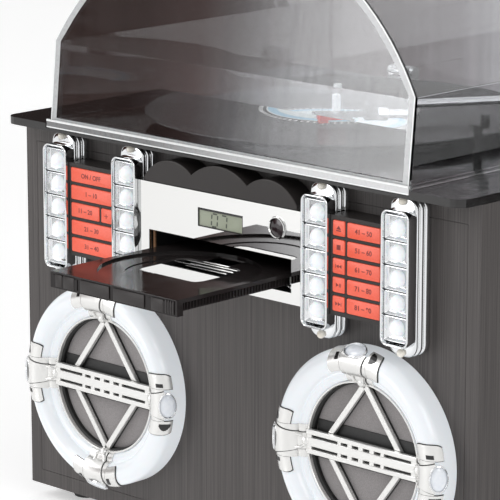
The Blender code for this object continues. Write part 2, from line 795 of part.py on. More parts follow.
# Tonearm: base, yoke, tube with its weight, headshell, cartridge and rest
BASE_RADIUS = 0.019
BASE_HEIGHT = 0.008
BASE_TOP_SHARE = 0.9
BASE_EDGE_SHARE = 0.8
POST_RADIUS = 0.009
POST_TOP = 0.0150
YOKE_RADIUS = 0.0105
YOKE_FLOOR = 0.0028
YOKE_SHAFT = 0.0040
YOKE_SHAFT_LENGTH = 0.009
CHEEK_IN = 0.0062
CHEEK_OUT = 0.0086
CHEEK_HALF = 0.0055
PIVOT_PIN = 0.0011
PIVOT_BLOCK = 0.0050
WEIGHT_RADIUS = 0.0105
WEIGHT_NEAR = 0.0140
WEIGHT_FAR = 0.0350
SHELL_BEHIND = 0.044  # behind the stylus
SHELL_START = ARM_LENGTH - SHELL_BEHIND
SHELL_COLLAR = 0.010
COLLAR_RADIUS = 0.00495
SHELL_HALF = 0.0090
SHELL_NOSE = 0.0065
SHELL_THICKNESS = 0.0024
SHELL_AHEAD = 0.006
SHELL_END = ARM_LENGTH + SHELL_AHEAD
CARTRIDGE_HALF = 0.0075
CARTRIDGE_BEHIND = 0.026
CARTRIDGE_AHEAD = 0.005
CARTRIDGE_START = ARM_LENGTH - CARTRIDGE_BEHIND
CARTRIDGE_END = ARM_LENGTH + CARTRIDGE_AHEAD
CARTRIDGE_HEIGHT = 0.0088
STYLUS_RADIUS = 0.0016
STYLUS_AIR = 0.0004
REST_SHARE = 0.64815  # of the arm's length
REST_REACH = ARM_LENGTH * REST_SHARE
REST_RADIUS = 0.0035
REST_SHELF = 0.0065
REST_STOP = 0.0045
REST_CLEARANCE = 0.0006


def arm_matrix():
    return Matrix.Translation((ARM_PIVOT_X, ARM_PIVOT_Y, 0)) @ Matrix.Rotation(ARM_ANGLE, 4, "Z")


def on_arm(body, height):
    """Turns a piece drawn along +X to the arm's angle, with its origin at the pivot."""
    body.data.transform(Matrix.Translation((0, 0, -height)))
    body.matrix_world = arm_matrix() @ Matrix.Translation((0, 0, height))
    return body


def make_tonearm():
    foot = DECK_TOP + GAP
    top = DECK_TOP + POST_TOP
    bore = YOKE_SHAFT + BORE_CLEARANCE
    seat = top + GAP
    profile = [
        (0, seat - YOKE_SHAFT_LENGTH - GAP),
        (bore, seat - YOKE_SHAFT_LENGTH - GAP),
        (bore, top),
        (POST_RADIUS, top),
        (POST_RADIUS, foot + BASE_HEIGHT),
        (BASE_RADIUS * BASE_TOP_SHARE, foot + BASE_HEIGHT),
        (BASE_RADIUS, foot + BASE_HEIGHT * BASE_EDGE_SHARE),
        (BASE_RADIUS, foot),
        (0, foot),
    ]
    body = turned("arm_base", profile, FLAT, WHEEL_SIDES)
    body.location = (ARM_PIVOT_X, ARM_PIVOT_Y, 0)
    colour(body, "black")

    floor = seat + YOKE_FLOOR
    profile = [
        (0, floor),
        (YOKE_RADIUS, floor),
        (YOKE_RADIUS, seat),
        (YOKE_SHAFT, seat),
        (YOKE_SHAFT, seat - YOKE_SHAFT_LENGTH),
        (0, seat - YOKE_SHAFT_LENGTH),
    ]
    body = turned("arm_yoke", profile, FLAT, WHEEL_SIDES)
    cheek_top = ARM_Z + PIVOT_BLOCK
    cheek_low = seat + YOKE_FLOOR / 2
    join(
        body,
        block("cheek left", (-CHEEK_HALF, CHEEK_HALF), (CHEEK_IN, CHEEK_OUT), (cheek_low, cheek_top)),
        block("cheek right", (-CHEEK_HALF, CHEEK_HALF), (-CHEEK_OUT, -CHEEK_IN), (cheek_low, cheek_top)),
    )
    axis = (0, 0, ARM_Z)
    through = (CHEEK_OUT + OVER) * 2
    cut(body, rod("pin bore", PIVOT_PIN + BORE_CLEARANCE, through, axis, "Y", POST_SIDES))
    colour(on_arm(body, ARM_Z), "steel")

    tube_start = -WEIGHT_NEAR - ARM_RADIUS
    tube_end = SHELL_START - GAP
    middle = ((tube_start + tube_end) / 2, 0, ARM_Z)
    body = rod("tonearm", ARM_RADIUS, tube_end - tube_start, middle, "X", POST_SIDES)
    behind = (-(WEIGHT_FAR + WEIGHT_NEAR) / 2, 0, ARM_Z)
    join(
        body,
        rod("pivot block", PIVOT_BLOCK - GAP, (CHEEK_IN - GAP) * 2, axis, "Y", POST_SIDES),
        rod("pivot pin", PIVOT_PIN, CHEEK_OUT * 2, axis, "Y", PIN_SIDES),
        rod("weight", WEIGHT_RADIUS, WEIGHT_FAR - WEIGHT_NEAR, behind, "X"),
    )
    colour(on_arm(body, ARM_Z), "steel")

    collar_end = SHELL_START + SHELL_COLLAR
    deck_high = ARM_Z + SHELL_THICKNESS / 2
    deck_low = ARM_Z - SHELL_THICKNESS / 2
    outline = [
        (SHELL_START + SHELL_COLLAR / 2, -SHELL_NOSE),
        (CARTRIDGE_START, -SHELL_HALF),
        (SHELL_END - SHELL_NOSE, -SHELL_HALF),
        (SHELL_END, -SHELL_NOSE),
        (SHELL_END, SHELL_NOSE),
        (SHELL_END - SHELL_NOSE, SHELL_HALF),
        (CARTRIDGE_START, SHELL_HALF),
        (SHELL_START + SHELL_COLLAR / 2, SHELL_NOSE),
    ]
    body = level_sheet("headshell", [outline], deck_low, deck_high)
    middle = ((SHELL_START + collar_end) / 2, 0, ARM_Z)
    join(body, rod("collar", COLLAR_RADIUS, SHELL_COLLAR, middle, "X", POST_SIDES))
    colour(on_arm(body, ARM_Z), "black")

    roof = deck_low - GAP
    floor = roof - CARTRIDGE_HEIGHT
    tip = RECORD_TOP + STYLUS_AIR
    across = (-CARTRIDGE_HALF, CARTRIDGE_HALF)
    body = block("cartridge", (CARTRIDGE_START, CARTRIDGE_END), across, (floor, roof))
    root = floor + STYLUS_RADIUS
    profile = [(0, root), (STYLUS_RADIUS, root), (STYLUS_RADIUS, floor), (STYLUS_RADIUS / 4, tip), (0, tip)]
    stylus = turned("stylus", profile, Matrix.Translation((ARM_LENGTH, 0, 0)), PIN_SIDES)
    join(body, stylus)
    colour(on_arm(body, ARM_Z), "red")


def make_arm_rest():
    """A shelf that the tube lies over when the arm is swung off the record, with a stop on its right."""
    x = ARM_PIVOT_X
    y = ARM_PIVOT_Y - REST_REACH
    foot = DECK_TOP + GAP
    shelf = ARM_Z - ARM_RADIUS - REST_CLEARANCE
    stop_in = x + ARM_RADIUS + REST_CLEARANCE * 2
    stop_out = stop_in + REST_RADIUS
    under = shelf - REST_RADIUS / 2
    deep = (y - REST_RADIUS, y + REST_RADIUS)
    middle = (x, y, (shelf + foot) / 2)
    body = rod("arm_rest", REST_RADIUS, shelf - foot, middle, "Z", POST_SIDES)
    low = (x, y, foot + REST_RADIUS / 4)
    join(
        body,
        rod("rest foot", REST_SHELF, REST_RADIUS / 2, low, "Z", POST_SIDES),
        block("shelf", (x - REST_SHELF, stop_out), deep, (under, shelf)),
        block("stop", (stop_in, stop_out), deep, (under, ARM_Z + REST_STOP)),
    )
    colour(body, "black")


# Arched lid with its flange and lugs, and the two hinges
def lid_outline(inset, low):
    """Vertical sides, then an arch that starts with a lean and crosses over the top."""
    half = LID_HALF - inset
    radius = LID_HALF / cos(LID_ARCH_LEAN) - inset
    centre = LID_BASE + LID_SIDE - LID_HALF * tan(LID_ARCH_LEAN)
    start = acos(half / radius)
    arch = arc((0, centre), radius, start, pi - start, LID_ARCH_STEPS)
    return [(half, low)] + arch + [(-half, low)]


def raked(body, near):
    """Leans the front face back as it rises."""
    for vertex in body.data.vertices:
        if vertex.co.y < near + LID_WALL / 4:
            vertex.co.y += (vertex.co.z - LID_BASE) * tan(LID_RAKE)
    return body


def make_lid():
    body = raked(front_sheet("lid", [lid_outline(0, LID_BASE)], LID_FRONT, LID_BACK), LID_FRONT)
    edge = LID_HALF + FLANGE_REACH
    near = LID_FRONT - FLANGE_REACH
    flange_top = LID_BASE + FLANGE_HEIGHT
    deep = (near, LID_BACK + FLANGE_REACH / 2)
    join(body, block("flange", (-edge, edge), deep, (LID_BASE, flange_top)))
    apron = (DECK_BOTTOM + SILL_THICKNESS + GAP, LID_BASE + FLANGE_HEIGHT / 2)
    join(body, block("apron", (-edge, edge), (near, near + APRON_THICKNESS), apron))
    border = lid_outline(LID_BORDER, flange_top + LID_BORDER / 4)
    recess = raked(front_sheet("recess", [border], near, LID_FRONT + LID_RECESS), near)
    for vertex in recess.data.vertices:
        if vertex.co.y > near + LID_WALL:
            vertex.co.y = LID_FRONT + LID_RECESS + (vertex.co.z - LID_BASE) * tan(LID_RAKE)
    pane = LID_FRONT + LID_RECESS + LID_WALL
    inside = lid_outline(LID_WALL, LID_BASE - OVER)
    room = raked(front_sheet("room", [inside], pane, LID_BACK - LID_WALL), pane)
    cut(body, recess, room)
    lugs = []
    web = LUG_RADIUS * WEB_SHARE
    for side in (-1, 1):
        x = side * HINGE_X
        span = (x - LUG_WIDTH / 2, x + LUG_WIDTH / 2)
        lugs.append(rod("lug", LUG_RADIUS, LUG_WIDTH, (x, HINGE_Y, HINGE_Z), "X", POST_SIDES))
        lugs.append(
            block("web", span, (LID_BACK - LID_WALL / 2, HINGE_Y), (HINGE_Z - web, HINGE_Z + web))
        )
    join(body, *lugs)
    bore = HINGE_PIN + BORE_CLEARANCE
    through = HINGE_X * 2 + LUG_WIDTH + OVER * 2
    cut(body, rod("pin bore", bore, through, (0, HINGE_Y, HINGE_Z), "X", POST_SIDES))
    set_origin(body, (0, HINGE_Y, HINGE_Z))
    colour(body, "clear")


def make_hinges():
    inner = LUG_WIDTH / 2 + GAP
    outer = inner + EAR_WIDTH
    foot = DECK_TOP + GAP
    ear = LUG_RADIUS * EAR_SHARE
    near, far = HINGE_Y - ear, HINGE_Y + HINGE_LEAF
    body = block("hinge_left", (-outer, outer), (near, far), (foot, foot + EAR_BASE))
    pieces = []
    for side in (-1, 1):
        span = sorted((side * inner, side * outer))
        middle = (side * (inner + outer) / 2, HINGE_Y, HINGE_Z)
        pieces.append(rod("ear", LUG_RADIUS, EAR_WIDTH, middle, "X", POST_SIDES))
        pieces.append(block("ear foot", span, (near, HINGE_Y + ear), (foot + EAR_BASE / 2, HINGE_Z)))
    pieces.append(rod("pin", HINGE_PIN, outer * 2, (0, HINGE_Y, HINGE_Z), "X", POST_SIDES))
    join(body, *pieces)
    body.location.x = -HINGE_X
    colour(body, "steel")
    copy_to(body, "hinge_right", (HINGE_X, 0, 0))


# Chrome light strips: a trough with cell walls, ribs behind it, and a bulb bar in front
RIB_NECK = 0.0018
RIB_SHARES = (0.0, 0.26, 0.33, 0.56, 0.63, 1.0)  # where ribs and necks change, of the plinth's depth


def make_light_strips():
    half = STRIP_WIDTH / 2
    outline = rounded(-half, half, -STRIP_HALF, STRIP_HALF, STRIP_CORNER)
    body = front_sheet("pilaster_1", [outline], depth(0), depth(TROUGH_DEPTH))
    inner = half - TROUGH_WALL
    tall = STRIP_HALF - TROUGH_WALL
    floor = TROUGH_DEPTH - TROUGH_FLOOR
    pocket = rounded(-inner, inner, -tall, tall, STRIP_CORNER - TROUGH_WALL)
    cut(body, front_sheet("pocket", [pocket], depth(-OVER), depth(floor)))
    bar_front = floor - GAP - BULB_BAR_THICKNESS
    walls = [
        block(
            "cell wall",
            (-inner - TROUGH_WALL / 2, inner + TROUGH_WALL / 2),
            (depth(TROUGH_WALL / 2), depth(bar_front - GAP)),
            (middle * BULB_PITCH - TROUGH_WALL / 4, middle * BULB_PITCH + TROUGH_WALL / 4),
        )
        for middle in (step + 1 - BULB_COUNT / 2 for step in range(BULB_COUNT - 1))
    ]
    start = TROUGH_DEPTH - TROUGH_FLOOR / 2
    end = LIGHTS_REACH - GAP
    ribs = []
    edges = [start + (end - start) * share for share in RIB_SHARES]
    for number, (near, far) in enumerate(zip(edges, edges[1:])):
        inset = RIB_NECK if number % 2 else 0
        wide = half - inset - (GAP if number else GAP * 2)
        high = PLINTH_HALF - inset
        overlap = GAP if far < end else 0
        outline = rounded(-wide, wide, -high, high, PLINTH_CORNER - inset)
        ribs.append(front_sheet("rib", [outline], depth(near), depth(far + overlap)))
    pearls = [
        ball("pearl", PEARL_RADIUS, (0, depth(start), side * PEARL_RISE), BULB_SIDES, PEARL_RINGS)
        for side in (-1, 1)
    ]
    join(body, *walls, *ribs, *pearls)
    body.location = (STRIP_PLACES[0], 0, LIGHTS_Z)
    colour(body, "chrome")
    for number, x in enumerate(STRIP_PLACES[1:], 2):
        copy_to(body, f"pilaster_{number}", (x, 0, LIGHTS_Z))

    edge = inner - GAP
    end = tall - GAP
    body = front_sheet(
        "bulb_bar_1",
        [rounded(-edge, edge, -end, end, STRIP_CORNER - TROUGH_WALL - GAP)],
        depth(bar_front),
        depth(bar_front + BULB_BAR_THICKNESS),
    )
    bulbs = []
    for step in range(BULB_COUNT):
        height = (step - (BULB_COUNT - 1) / 2) * BULB_PITCH
        dome = [(v, u) for u, v in arc((0, 0), BULB_RADIUS, 0, pi / 2, BULB_RINGS)]
        dome.append((BULB_RADIUS, -BULB_BAR_THICKNESS / 2))
        dome.append((0, -BULB_BAR_THICKNESS / 2))
        middle = Matrix.Translation((0, depth(bar_front), height))
        bulbs.append(turned("bulb", dome, middle @ FACING, BULB_SIDES))
    join(body, *bulbs)
    body.location = (STRIP_PLACES[0], 0, LIGHTS_Z)
    colour(body, "glow")
    for number, x in enumerate(STRIP_PLACES[1:], 2):
        copy_to(body, f"bulb_bar_{number}", (x, 0, LIGHTS_Z))


# Chrome fascia with the display, the infrared eye and the tray's slot, and the crest above it
EYE_PROUD = 0.0014
LENS_SETBACK = 0.0008
LENS_CLEARANCE = 0.0003
MODULE_BORDER = 0.0028
MODULE_DEPTH = 0.005


def make_fascia():
    low, high = LIGHTS_Z + FASCIA_BOTTOM, LIGHTS_Z + FASCIA_TOP
    face = depth(FACE_DEPTH)
    rear = BOARD_Y - GAP
    body = block("fascia", (-FASCIA_HALF, FASCIA_HALF), (face, rear), (low, high))
    inner = FASCIA_HALF - FASCIA_SHEET
    eye = (EYE_X, face, LIGHTS_Z + EYE_Z)
    rim = turned(
        "eye rim",
        [
            (EYE_RADIUS, EYE_PROUD / 2),
            (EYE_RADIUS + EYE_RIM / 3, EYE_PROUD),
            (EYE_RADIUS + EYE_RIM * 2 / 3, EYE_PROUD),
            (EYE_RADIUS + EYE_RIM, 0),
            (EYE_RADIUS + EYE_RIM, -FASCIA_SHEET / 2),
            (EYE_RADIUS, -FASCIA_SHEET / 2),
        ],
        Matrix.Translation(eye) @ FACING,
        WHEEL_SIDES,
        closed=True,
    )
    middle = LIGHTS_Z + WINDOW_Z
    through = (face - OVER, face + FASCIA_SHEET + OVER)
    pocket = (low + FASCIA_SHEET, high - FASCIA_SHEET)
    slot = (LIGHTS_Z + SLOT_BOTTOM, LIGHTS_Z + SLOT_TOP)
    window = (WINDOW_X - WINDOW_WIDTH / 2, WINDOW_X + WINDOW_WIDTH / 2)
    cut(
        body,
        block("back pocket", (-inner, inner), (face + FASCIA_SHEET, rear + OVER), pocket),
        block("slot", (-SLOT_HALF, SLOT_HALF), through, slot),
        block("window", window, through, (middle - WINDOW_HEIGHT / 2, middle + WINDOW_HEIGHT / 2)),
    )
    join(body, rim)
    cut(body, rod("eye hole", EYE_RADIUS, (EYE_PROUD + FASCIA_SHEET + OVER) * 2, eye, "Y"))
    colour(body, "chrome")

    wide = WINDOW_WIDTH / 2 - LENS_CLEARANCE
    tall = WINDOW_HEIGHT / 2 - LENS_CLEARANCE
    behind = face + FASCIA_SHEET + GAP
    spans = (WINDOW_X - wide, WINDOW_X + wide), (middle - tall, middle + tall)
    body = block("display_lens", spans[0], (face + LENS_SETBACK, behind + MODULE_DEPTH / 2), spans[1])
    wide += MODULE_BORDER
    tall += MODULE_BORDER
    spans = (WINDOW_X - wide, WINDOW_X + wide), (middle - tall, middle + tall)
    join(body, block("module", spans[0], (behind, behind + MODULE_DEPTH), spans[1]))
    colour(body, "screen")

    radius = EYE_RADIUS - LENS_CLEARANCE
    back = -FASCIA_SHEET - GAP
    profile = [
        (0, EYE_PROUD / 2),
        (radius / 2, EYE_PROUD / 3),
        (radius, 0),
        (radius, back),
        (EYE_RADIUS + EYE_RIM, back),
        (EYE_RADIUS + EYE_RIM, back - FASCIA_SHEET),
        (0, back - FASCIA_SHEET),
    ]
    body = turned("ir_lens", profile, Matrix.Translation(eye) @ FACING, WHEEL_SIDES)
    colour(body, "black")


HUMP_STEPS = 12
HUMP_SIDE_INSET = 0.029
HUMP_SIDE_X = CREST_HALF - HUMP_SIDE_INSET
HUMP_SIDE_RADIUS = 0.0345
HUMP_SIDE_AIR = 0.0047
HUMP_SIDE_TOP = PLINTH_HALF - HUMP_SIDE_AIR
HUMP_MID_RADIUS = 0.0455
HUMP_MID_AIR = 0.0021
HUMP_MID_TOP = PLINTH_HALF - HUMP_MID_AIR


def make_crest():
    """Three scallops over a straight foot, the middle one flatter."""
    side = (HUMP_SIDE_X, HUMP_SIDE_TOP - HUMP_SIDE_RADIUS)
    mid = (0, HUMP_MID_TOP - HUMP_MID_RADIUS)
    foot_angle = atan2(CREST_FOOT - side[1], CREST_HALF - side[0])
    notch_mid, notch_side = crossing(mid, HUMP_MID_RADIUS, side, HUMP_SIDE_RADIUS)
    right = arc(side, HUMP_SIDE_RADIUS, foot_angle, notch_side, HUMP_STEPS)
    middle = arc(mid, HUMP_MID_RADIUS, notch_mid, pi - notch_mid, HUMP_STEPS)[1:-1]
    right[0] = (CREST_HALF, CREST_FOOT)
    left = [(-u, v) for u, v in reversed(right)]
    outline = [(u, LIGHTS_Z + v) for u, v in right + middle + left]
    body = front_sheet("crest", [outline], depth(FACE_DEPTH), BOARD_Y - GAP)
    colour(body, "black")


# Key panels: a black housing with windows, and keys with rims behind them
KEY_NAMES_LEFT = ("key_power", "key_lights", "key_source", "key_volume_up", "key_volume_down")
KEY_NAMES_RIGHT = ("key_eject", "key_stop", "key_previous", "key_play", "key_next")
SPLIT_ROW = 2  # the left panel's row with a second, small key


def row_height(row):
    return LIGHTS_Z + ((KEY_ROWS - 1) / 2 - row) * KEY_PITCH


def key_cells(side, row):
    """The X spans of the row's windows, each with the name of the key that fills it."""
    if side < 0:
        if row == SPLIT_ROW:
            return [
                ((-KEY_OUTER, -KEY_INNER - KEY_SMALL - KEY_SPLIT), KEY_NAMES_LEFT[row]),
                ((-KEY_INNER - KEY_SMALL, -KEY_INNER), "key_repeat"),
            ]
        return [((-KEY_OUTER, -KEY_INNER), KEY_NAMES_LEFT[row])]
    name = KEY_NAMES_RIGHT[row]
    small_end = KEY_INNER + KEY_SMALL
    return [((KEY_INNER, small_end), name), ((small_end + KEY_SPLIT, KEY_OUTER), name)]


def make_key_panel(side, name):
    face = depth(FACE_DEPTH)
    back = face + PANEL_SHEET
    rear = BOARD_Y - GAP
    low, high = LIGHTS_Z - PANEL_HALF, LIGHTS_Z + PANEL_HALF
    span = sorted((side * PANEL_INNER, side * PANEL_OUTER))
    body = block(name, span, (face, rear), (low, high))
    side_wall = FASCIA_SHEET / 2
    hollow = (span[0] + side_wall, span[1] - side_wall)
    tools = [block("panel hollow", hollow, (back, rear + OVER), (low + side_wall, high - side_wall))]
    keys = {}
    tall = KEY_HEIGHT / 2
    for row in range(KEY_ROWS):
        middle = row_height(row)
        for (left, right), key in key_cells(side, row):
            window = (middle - tall, middle + tall)
            tools.append(block("key window", (left, right), (face - OVER, back + OVER), window))
            keys.setdefault(key, []).append((left, right, middle))
    cut(body, *tools)
    colour(body, "black")
    for key, cells in keys.items():
        make_key(key, cells, face, back)


def make_key(name, cells, face, back):
    """One pad in each window, on a common base behind the panel's face."""
    front = back + GAP
    left, right = min(cell[0] for cell in cells), max(cell[1] for cell in cells)
    middle = cells[0][2]
    tall = KEY_HEIGHT / 2 + KEY_RIM
    across = (left - KEY_RIM, right + KEY_RIM)
    body = block(name, across, (front, front + KEY_BASE), (middle - tall, middle + tall))
    pads = []
    for pad_left, pad_right, _ in cells:
        pad_left, pad_right = pad_left + KEY_CLEARANCE, pad_right - KEY_CLEARANCE
        low = middle - KEY_HEIGHT / 2 + KEY_CLEARANCE
        high = middle + KEY_HEIGHT / 2 - KEY_CLEARANCE
        outline = rounded(pad_left, pad_right, low, high, KEY_RIM, SMALL_CORNER_STEPS)
        pads.append(front_sheet("pad", [outline], face - KEY_PROUD, front + KEY_BASE / 2))
    join(body, *pads)
    colour(body, "red")


# Disc tray with its rack, the gear, and the loader frame that carries both
CHASSIS_AIR = 0.0035
CHASSIS_HALF = SLOT_HALF + CHASSIS_AIR
CHASSIS_SHEET = 0.0015
CHASSIS_BOTTOM = -0.0310
CHASSIS_TOP = -0.0035
CHASSIS_FRONT = 0.0075
CHASSIS_SPARE = 0.008
CHASSIS_LENGTH = TRAY_LENGTH + CHASSIS_SPARE
CHASSIS_CLEARANCE = 0.0010
CHASSIS_EAR = 0.014
RAIL_WIDTH = 0.004
RAIL_START = 0.026
HUB_HALF = 0.032
HUB_FRONT = 0.0155
HUB_BACK = 0.036
HUB_CORNER = 0.008
LASER_HALF = 0.014
LASER_LEDGE = 0.0048
LASER_BACK = DISC_RADIUS - LASER_LEDGE
LIP_PANEL_SHARES = ((0.084, 0.476), (0.56, 0.952))  # raised panels on the lip, of its half width
LIP_PANEL_LOW_SHARE = 0.85
LIP_PANEL_HIGH_SHARE = 0.2
GEAR_LOW = -0.0248
GEAR_HIGH = -0.0190
GEAR_PIN = 0.0013
RACK_BACKLASH = 0.0001
TOOTH_HEIGHT = 0.0018
TOOTH_ROOT_SHARE = 1.25
TOOTH_TIP_SHARE = 0.55
GEAR_TOOTH_SHARES = ((-0.30, -1), (-0.13, 1), (0.13, 1), (0.30, -1))  # of a tooth's angle, of a module


def tooth(centre, root, tip, flank):
    """Four corners of a rack tooth that points along +u."""
    wide = flank * TOOTH_ROOT_SHARE
    narrow = flank * TOOTH_TIP_SHARE
    return [(root, centre - wide), (tip, centre - narrow), (tip, centre + narrow), (root, centre + wide)]


def make_tray():
    near = depth(-TRAY_REACH)
    far = near + TRAY_LENGTH
    top = LIGHTS_Z + TRAY_TOP
    under = top - TRAY_PLATE
    body = block("cd_tray", (-TRAY_HALF, TRAY_HALF), (near, far), (under, top))
    lip = (top - TRAY_LIP_HEIGHT, top - TRAY_PLATE / 2)
    pieces = [block("lip", (-TRAY_HALF, TRAY_HALF), (near, near + TRAY_LIP_DEPTH), lip)]
    low = LIGHTS_Z + SKIRT_BOTTOM
    for side in (-1, 1):
        span = sorted((side * (SKIRT_OUTER - SKIRT_WALL), side * SKIRT_OUTER))
        along = (near + TRAY_LIP_DEPTH / 2, far)
        pieces.append(block("skirt", span, along, (low, top - TRAY_PLATE / 2)))
    pitch = pi * TOOTH_MODULE
    phase = GEAR_PLACE - near
    first = phase - round((phase - RACK_START) / pitch) * pitch
    root = SKIRT_OUTER
    rack = [(root - SKIRT_WALL / 2, near + first - pitch)]
    for number in range(RACK_TEETH):
        rack += tooth(near + first + number * pitch, root, root + TOOTH_HEIGHT, pitch / 4)
    rack.append((root - SKIRT_WALL / 2, near + first + RACK_TEETH * pitch))
    pieces.append(level_sheet("rack", [rack], LIGHTS_Z + GEAR_LOW, LIGHTS_Z + GEAR_HIGH))
    join(body, *pieces)
    centre = near + DISC_CENTRE
    middle = (0, centre, top)
    inner_recess = DISC_RECESS + SMALL_DISC_RECESS
    hub = rounded(-HUB_HALF, HUB_HALF, centre - HUB_FRONT, centre + HUB_BACK, HUB_CORNER)
    slot = (centre + HUB_BACK - HUB_CORNER, centre + LASER_BACK)
    cut(
        body,
        rod("disc well", DISC_RADIUS, DISC_RECESS * 2, middle, "Z", RING_STEPS),
        rod("small disc well", SMALL_DISC_RADIUS, inner_recess * 2, middle, "Z", PLATTER_SIDES),
        level_sheet("hub window", [hub], under - OVER, top + OVER),
        block("laser slot", (-LASER_HALF, LASER_HALF), slot, (under - OVER, top + OVER)),
    )
    panels = []
    low = top - TRAY_LIP_HEIGHT * LIP_PANEL_LOW_SHARE
    high = top - TRAY_LIP_HEIGHT * LIP_PANEL_HIGH_SHARE
    for side in (-1, 1):
        for start, end in LIP_PANEL_SHARES:
            span = sorted((side * start * TRAY_HALF, side * end * TRAY_HALF))
            along = (near - LIP_PANEL_RISE, near + LIP_PANEL_RISE)
            panels.append(block("lip panel", span, along, (low, high)))
    join(body, *panels)
    colour(body, "black")


def make_gear():
    """At rest the gap between teeth that faces the rack holds one of its teeth."""
    radius = TOOTH_MODULE * GEAR_TEETH / 2
    outline = []
    step = 2 * pi / GEAR_TEETH
    for number in range(GEAR_TEETH):
        middle = pi + step / 2 + number * step
        for turn, rise in GEAR_TOOTH_SHARES:
            reach = radius + TOOTH_MODULE * rise
            outline.append((reach * cos(middle + turn * step), reach * sin(middle + turn * step)))
    bore = arc((0, 0), GEAR_PIN + BORE_CLEARANCE, 0, 2 * pi, PIN_SIDES)[:-1]
    body = level_sheet("tray_gear", [outline, bore], LIGHTS_Z + GEAR_LOW, LIGHTS_Z + GEAR_HIGH)
    body.location = (SKIRT_OUTER + TOOTH_MODULE + radius + RACK_BACKLASH, GEAR_PLACE, 0)
    colour(body, "steel")
    return body.location


def make_chassis(gear_place):
    near = depth(CHASSIS_FRONT)
    far = near + CHASSIS_LENGTH
    low = LIGHTS_Z + CHASSIS_BOTTOM
    high = LIGHTS_Z + CHASSIS_TOP
    floor = low + CHASSIS_SHEET
    body = block("loader_chassis", (-CHASSIS_HALF, CHASSIS_HALF), (near, far), (low, high))
    inner = CHASSIS_HALF - CHASSIS_SHEET
    along = (near - OVER, far - CHASSIS_SHEET)
    cut(body, block("chassis room", (-inner, inner), along, (floor, high + OVER)))
    pieces = []
    ear_near = BOARD_BACK
    rail_top = LIGHTS_Z + SKIRT_BOTTOM - GAP
    for side in (-1, 1):
        ear = sorted((side * (inner + CHASSIS_SHEET / 2), side * (CHASSIS_HALF + CHASSIS_EAR)))
        ear_up = (low + CHASSIS_SHEET * 2, high - CHASSIS_SHEET)
        pieces.append(block("ear", ear, (ear_near, ear_near + CHASSIS_SHEET), ear_up))
        rail = sorted((side * (SKIRT_OUTER - RAIL_WIDTH), side * SKIRT_OUTER))
        rail_along = (depth(RAIL_START), far - CHASSIS_SHEET / 2)
        pieces.append(block("tray rail", rail, rail_along, (floor - CHASSIS_SHEET / 2, rail_top)))
    x, y, _ = gear_place
    root = low + CHASSIS_SHEET / 2
    post_top = LIGHTS_Z + GEAR_LOW - GAP
    middle = (x, y, (post_top + root) / 2)
    pieces.append(rod("gear post", GEAR_PIN * 2, post_top - root, middle, "Z", POST_SIDES))
    pin_top = LIGHTS_Z + GEAR_HIGH
    middle = (x, y, (pin_top + root) / 2)
    pieces.append(rod("gear pin", GEAR_PIN, pin_top - root, middle, "Z", PIN_SIDES))
    join(body, *pieces)
    colour(body, "steel")


# Ring lights, their chrome grilles, the cloths and the speakers
def ring_contour(offset):
    """The ring's two round steps in section, grown by an offset; its heights are from the board."""
    small, large = (STEP_CENTRE, STEP_HEIGHT), (TUBE_CENTRE, TUBE_HEIGHT)
    leave, join_on = crossing(small, STEP_RADIUS + offset, large, TUBE_RADIUS + offset)
    step = arc(small, STEP_RADIUS + offset, pi, leave, STEP_STEPS)
    return step[:-1] + arc(large, TUBE_RADIUS + offset, join_on, 0, TUBE_STEPS)


def make_ring_light(side, name):
    foot = GAP
    profile = ring_contour(0) + [(TUBE_CENTRE + TUBE_RADIUS, foot), (STEP_CENTRE - STEP_RADIUS, foot)]
    matrix = Matrix.Translation((side * RING_X, BOARD_Y, RING_Z)) @ FACING
    colour(turned(name, profile, matrix, RING_STEPS, closed=True), "glow")


BAND_SLOT_HEIGHT = 0.0022
BAND_SLOT_RISE = 0.0044
BAND_SLOT_SHARES = ((0.42, 0.90), (-0.90, -0.42))  # the long slots, of the band's half length
BAND_DASH_SHARES = (-0.30, -0.10, 0.10, 0.30)  # the middles of the short slots
BAND_DASH_HALF = 0.0032
BAR_OUTER_SHARE = 1 / 6  # of a bar's width, outside the rhombus


def make_band():
    """The band across the middle, with two rows of long and short slots."""
    length = (TRIM_INNER + TRIM_OUTER) / 2
    depths = (-BAND_FRONT, -BAND_FRONT + BAND_THICKNESS)
    through = (depths[0] - OVER, depths[1] + OVER)
    tall = BAND_SLOT_HEIGHT / 2
    spans = [(start * length, end * length) for start, end in BAND_SLOT_SHARES]
    for middle in (share * length for share in BAND_DASH_SHARES):
        spans.append((middle - BAND_DASH_HALF, middle + BAND_DASH_HALF))
    slots = [
        block("band slot", span, through, (middle - tall, middle + tall))
        for span in spans
        for middle in (-BAND_SLOT_RISE, BAND_SLOT_RISE)
    ]
    return cut(block("band", (-length, length), depths, (-BAND_HALF, BAND_HALF)), *slots)


def make_diamond():
    """Four bars along a rhombus, its upper and lower corners in the trim ring."""
    slope = atan2(DIAMOND_TALL, DIAMOND_WIDE)
    outlines = []
    for shift in (BAR_WIDTH * BAR_OUTER_SHARE, BAR_WIDTH * (BAR_OUTER_SHARE - 1)):
        wide = DIAMOND_WIDE + shift / sin(slope)
        tall = wide * tan(slope)
        outlines.append([(0, tall), (-wide, 0), (0, -tall), (wide, 0)])
    near, far = -BAR_FRONT, -BAR_FRONT + BAR_THICKNESS
    bars = front_sheet("bars", outlines[:1], near, far)
    return cut(bars, front_sheet("bars hole", outlines[1:], near - OVER, far + OVER))


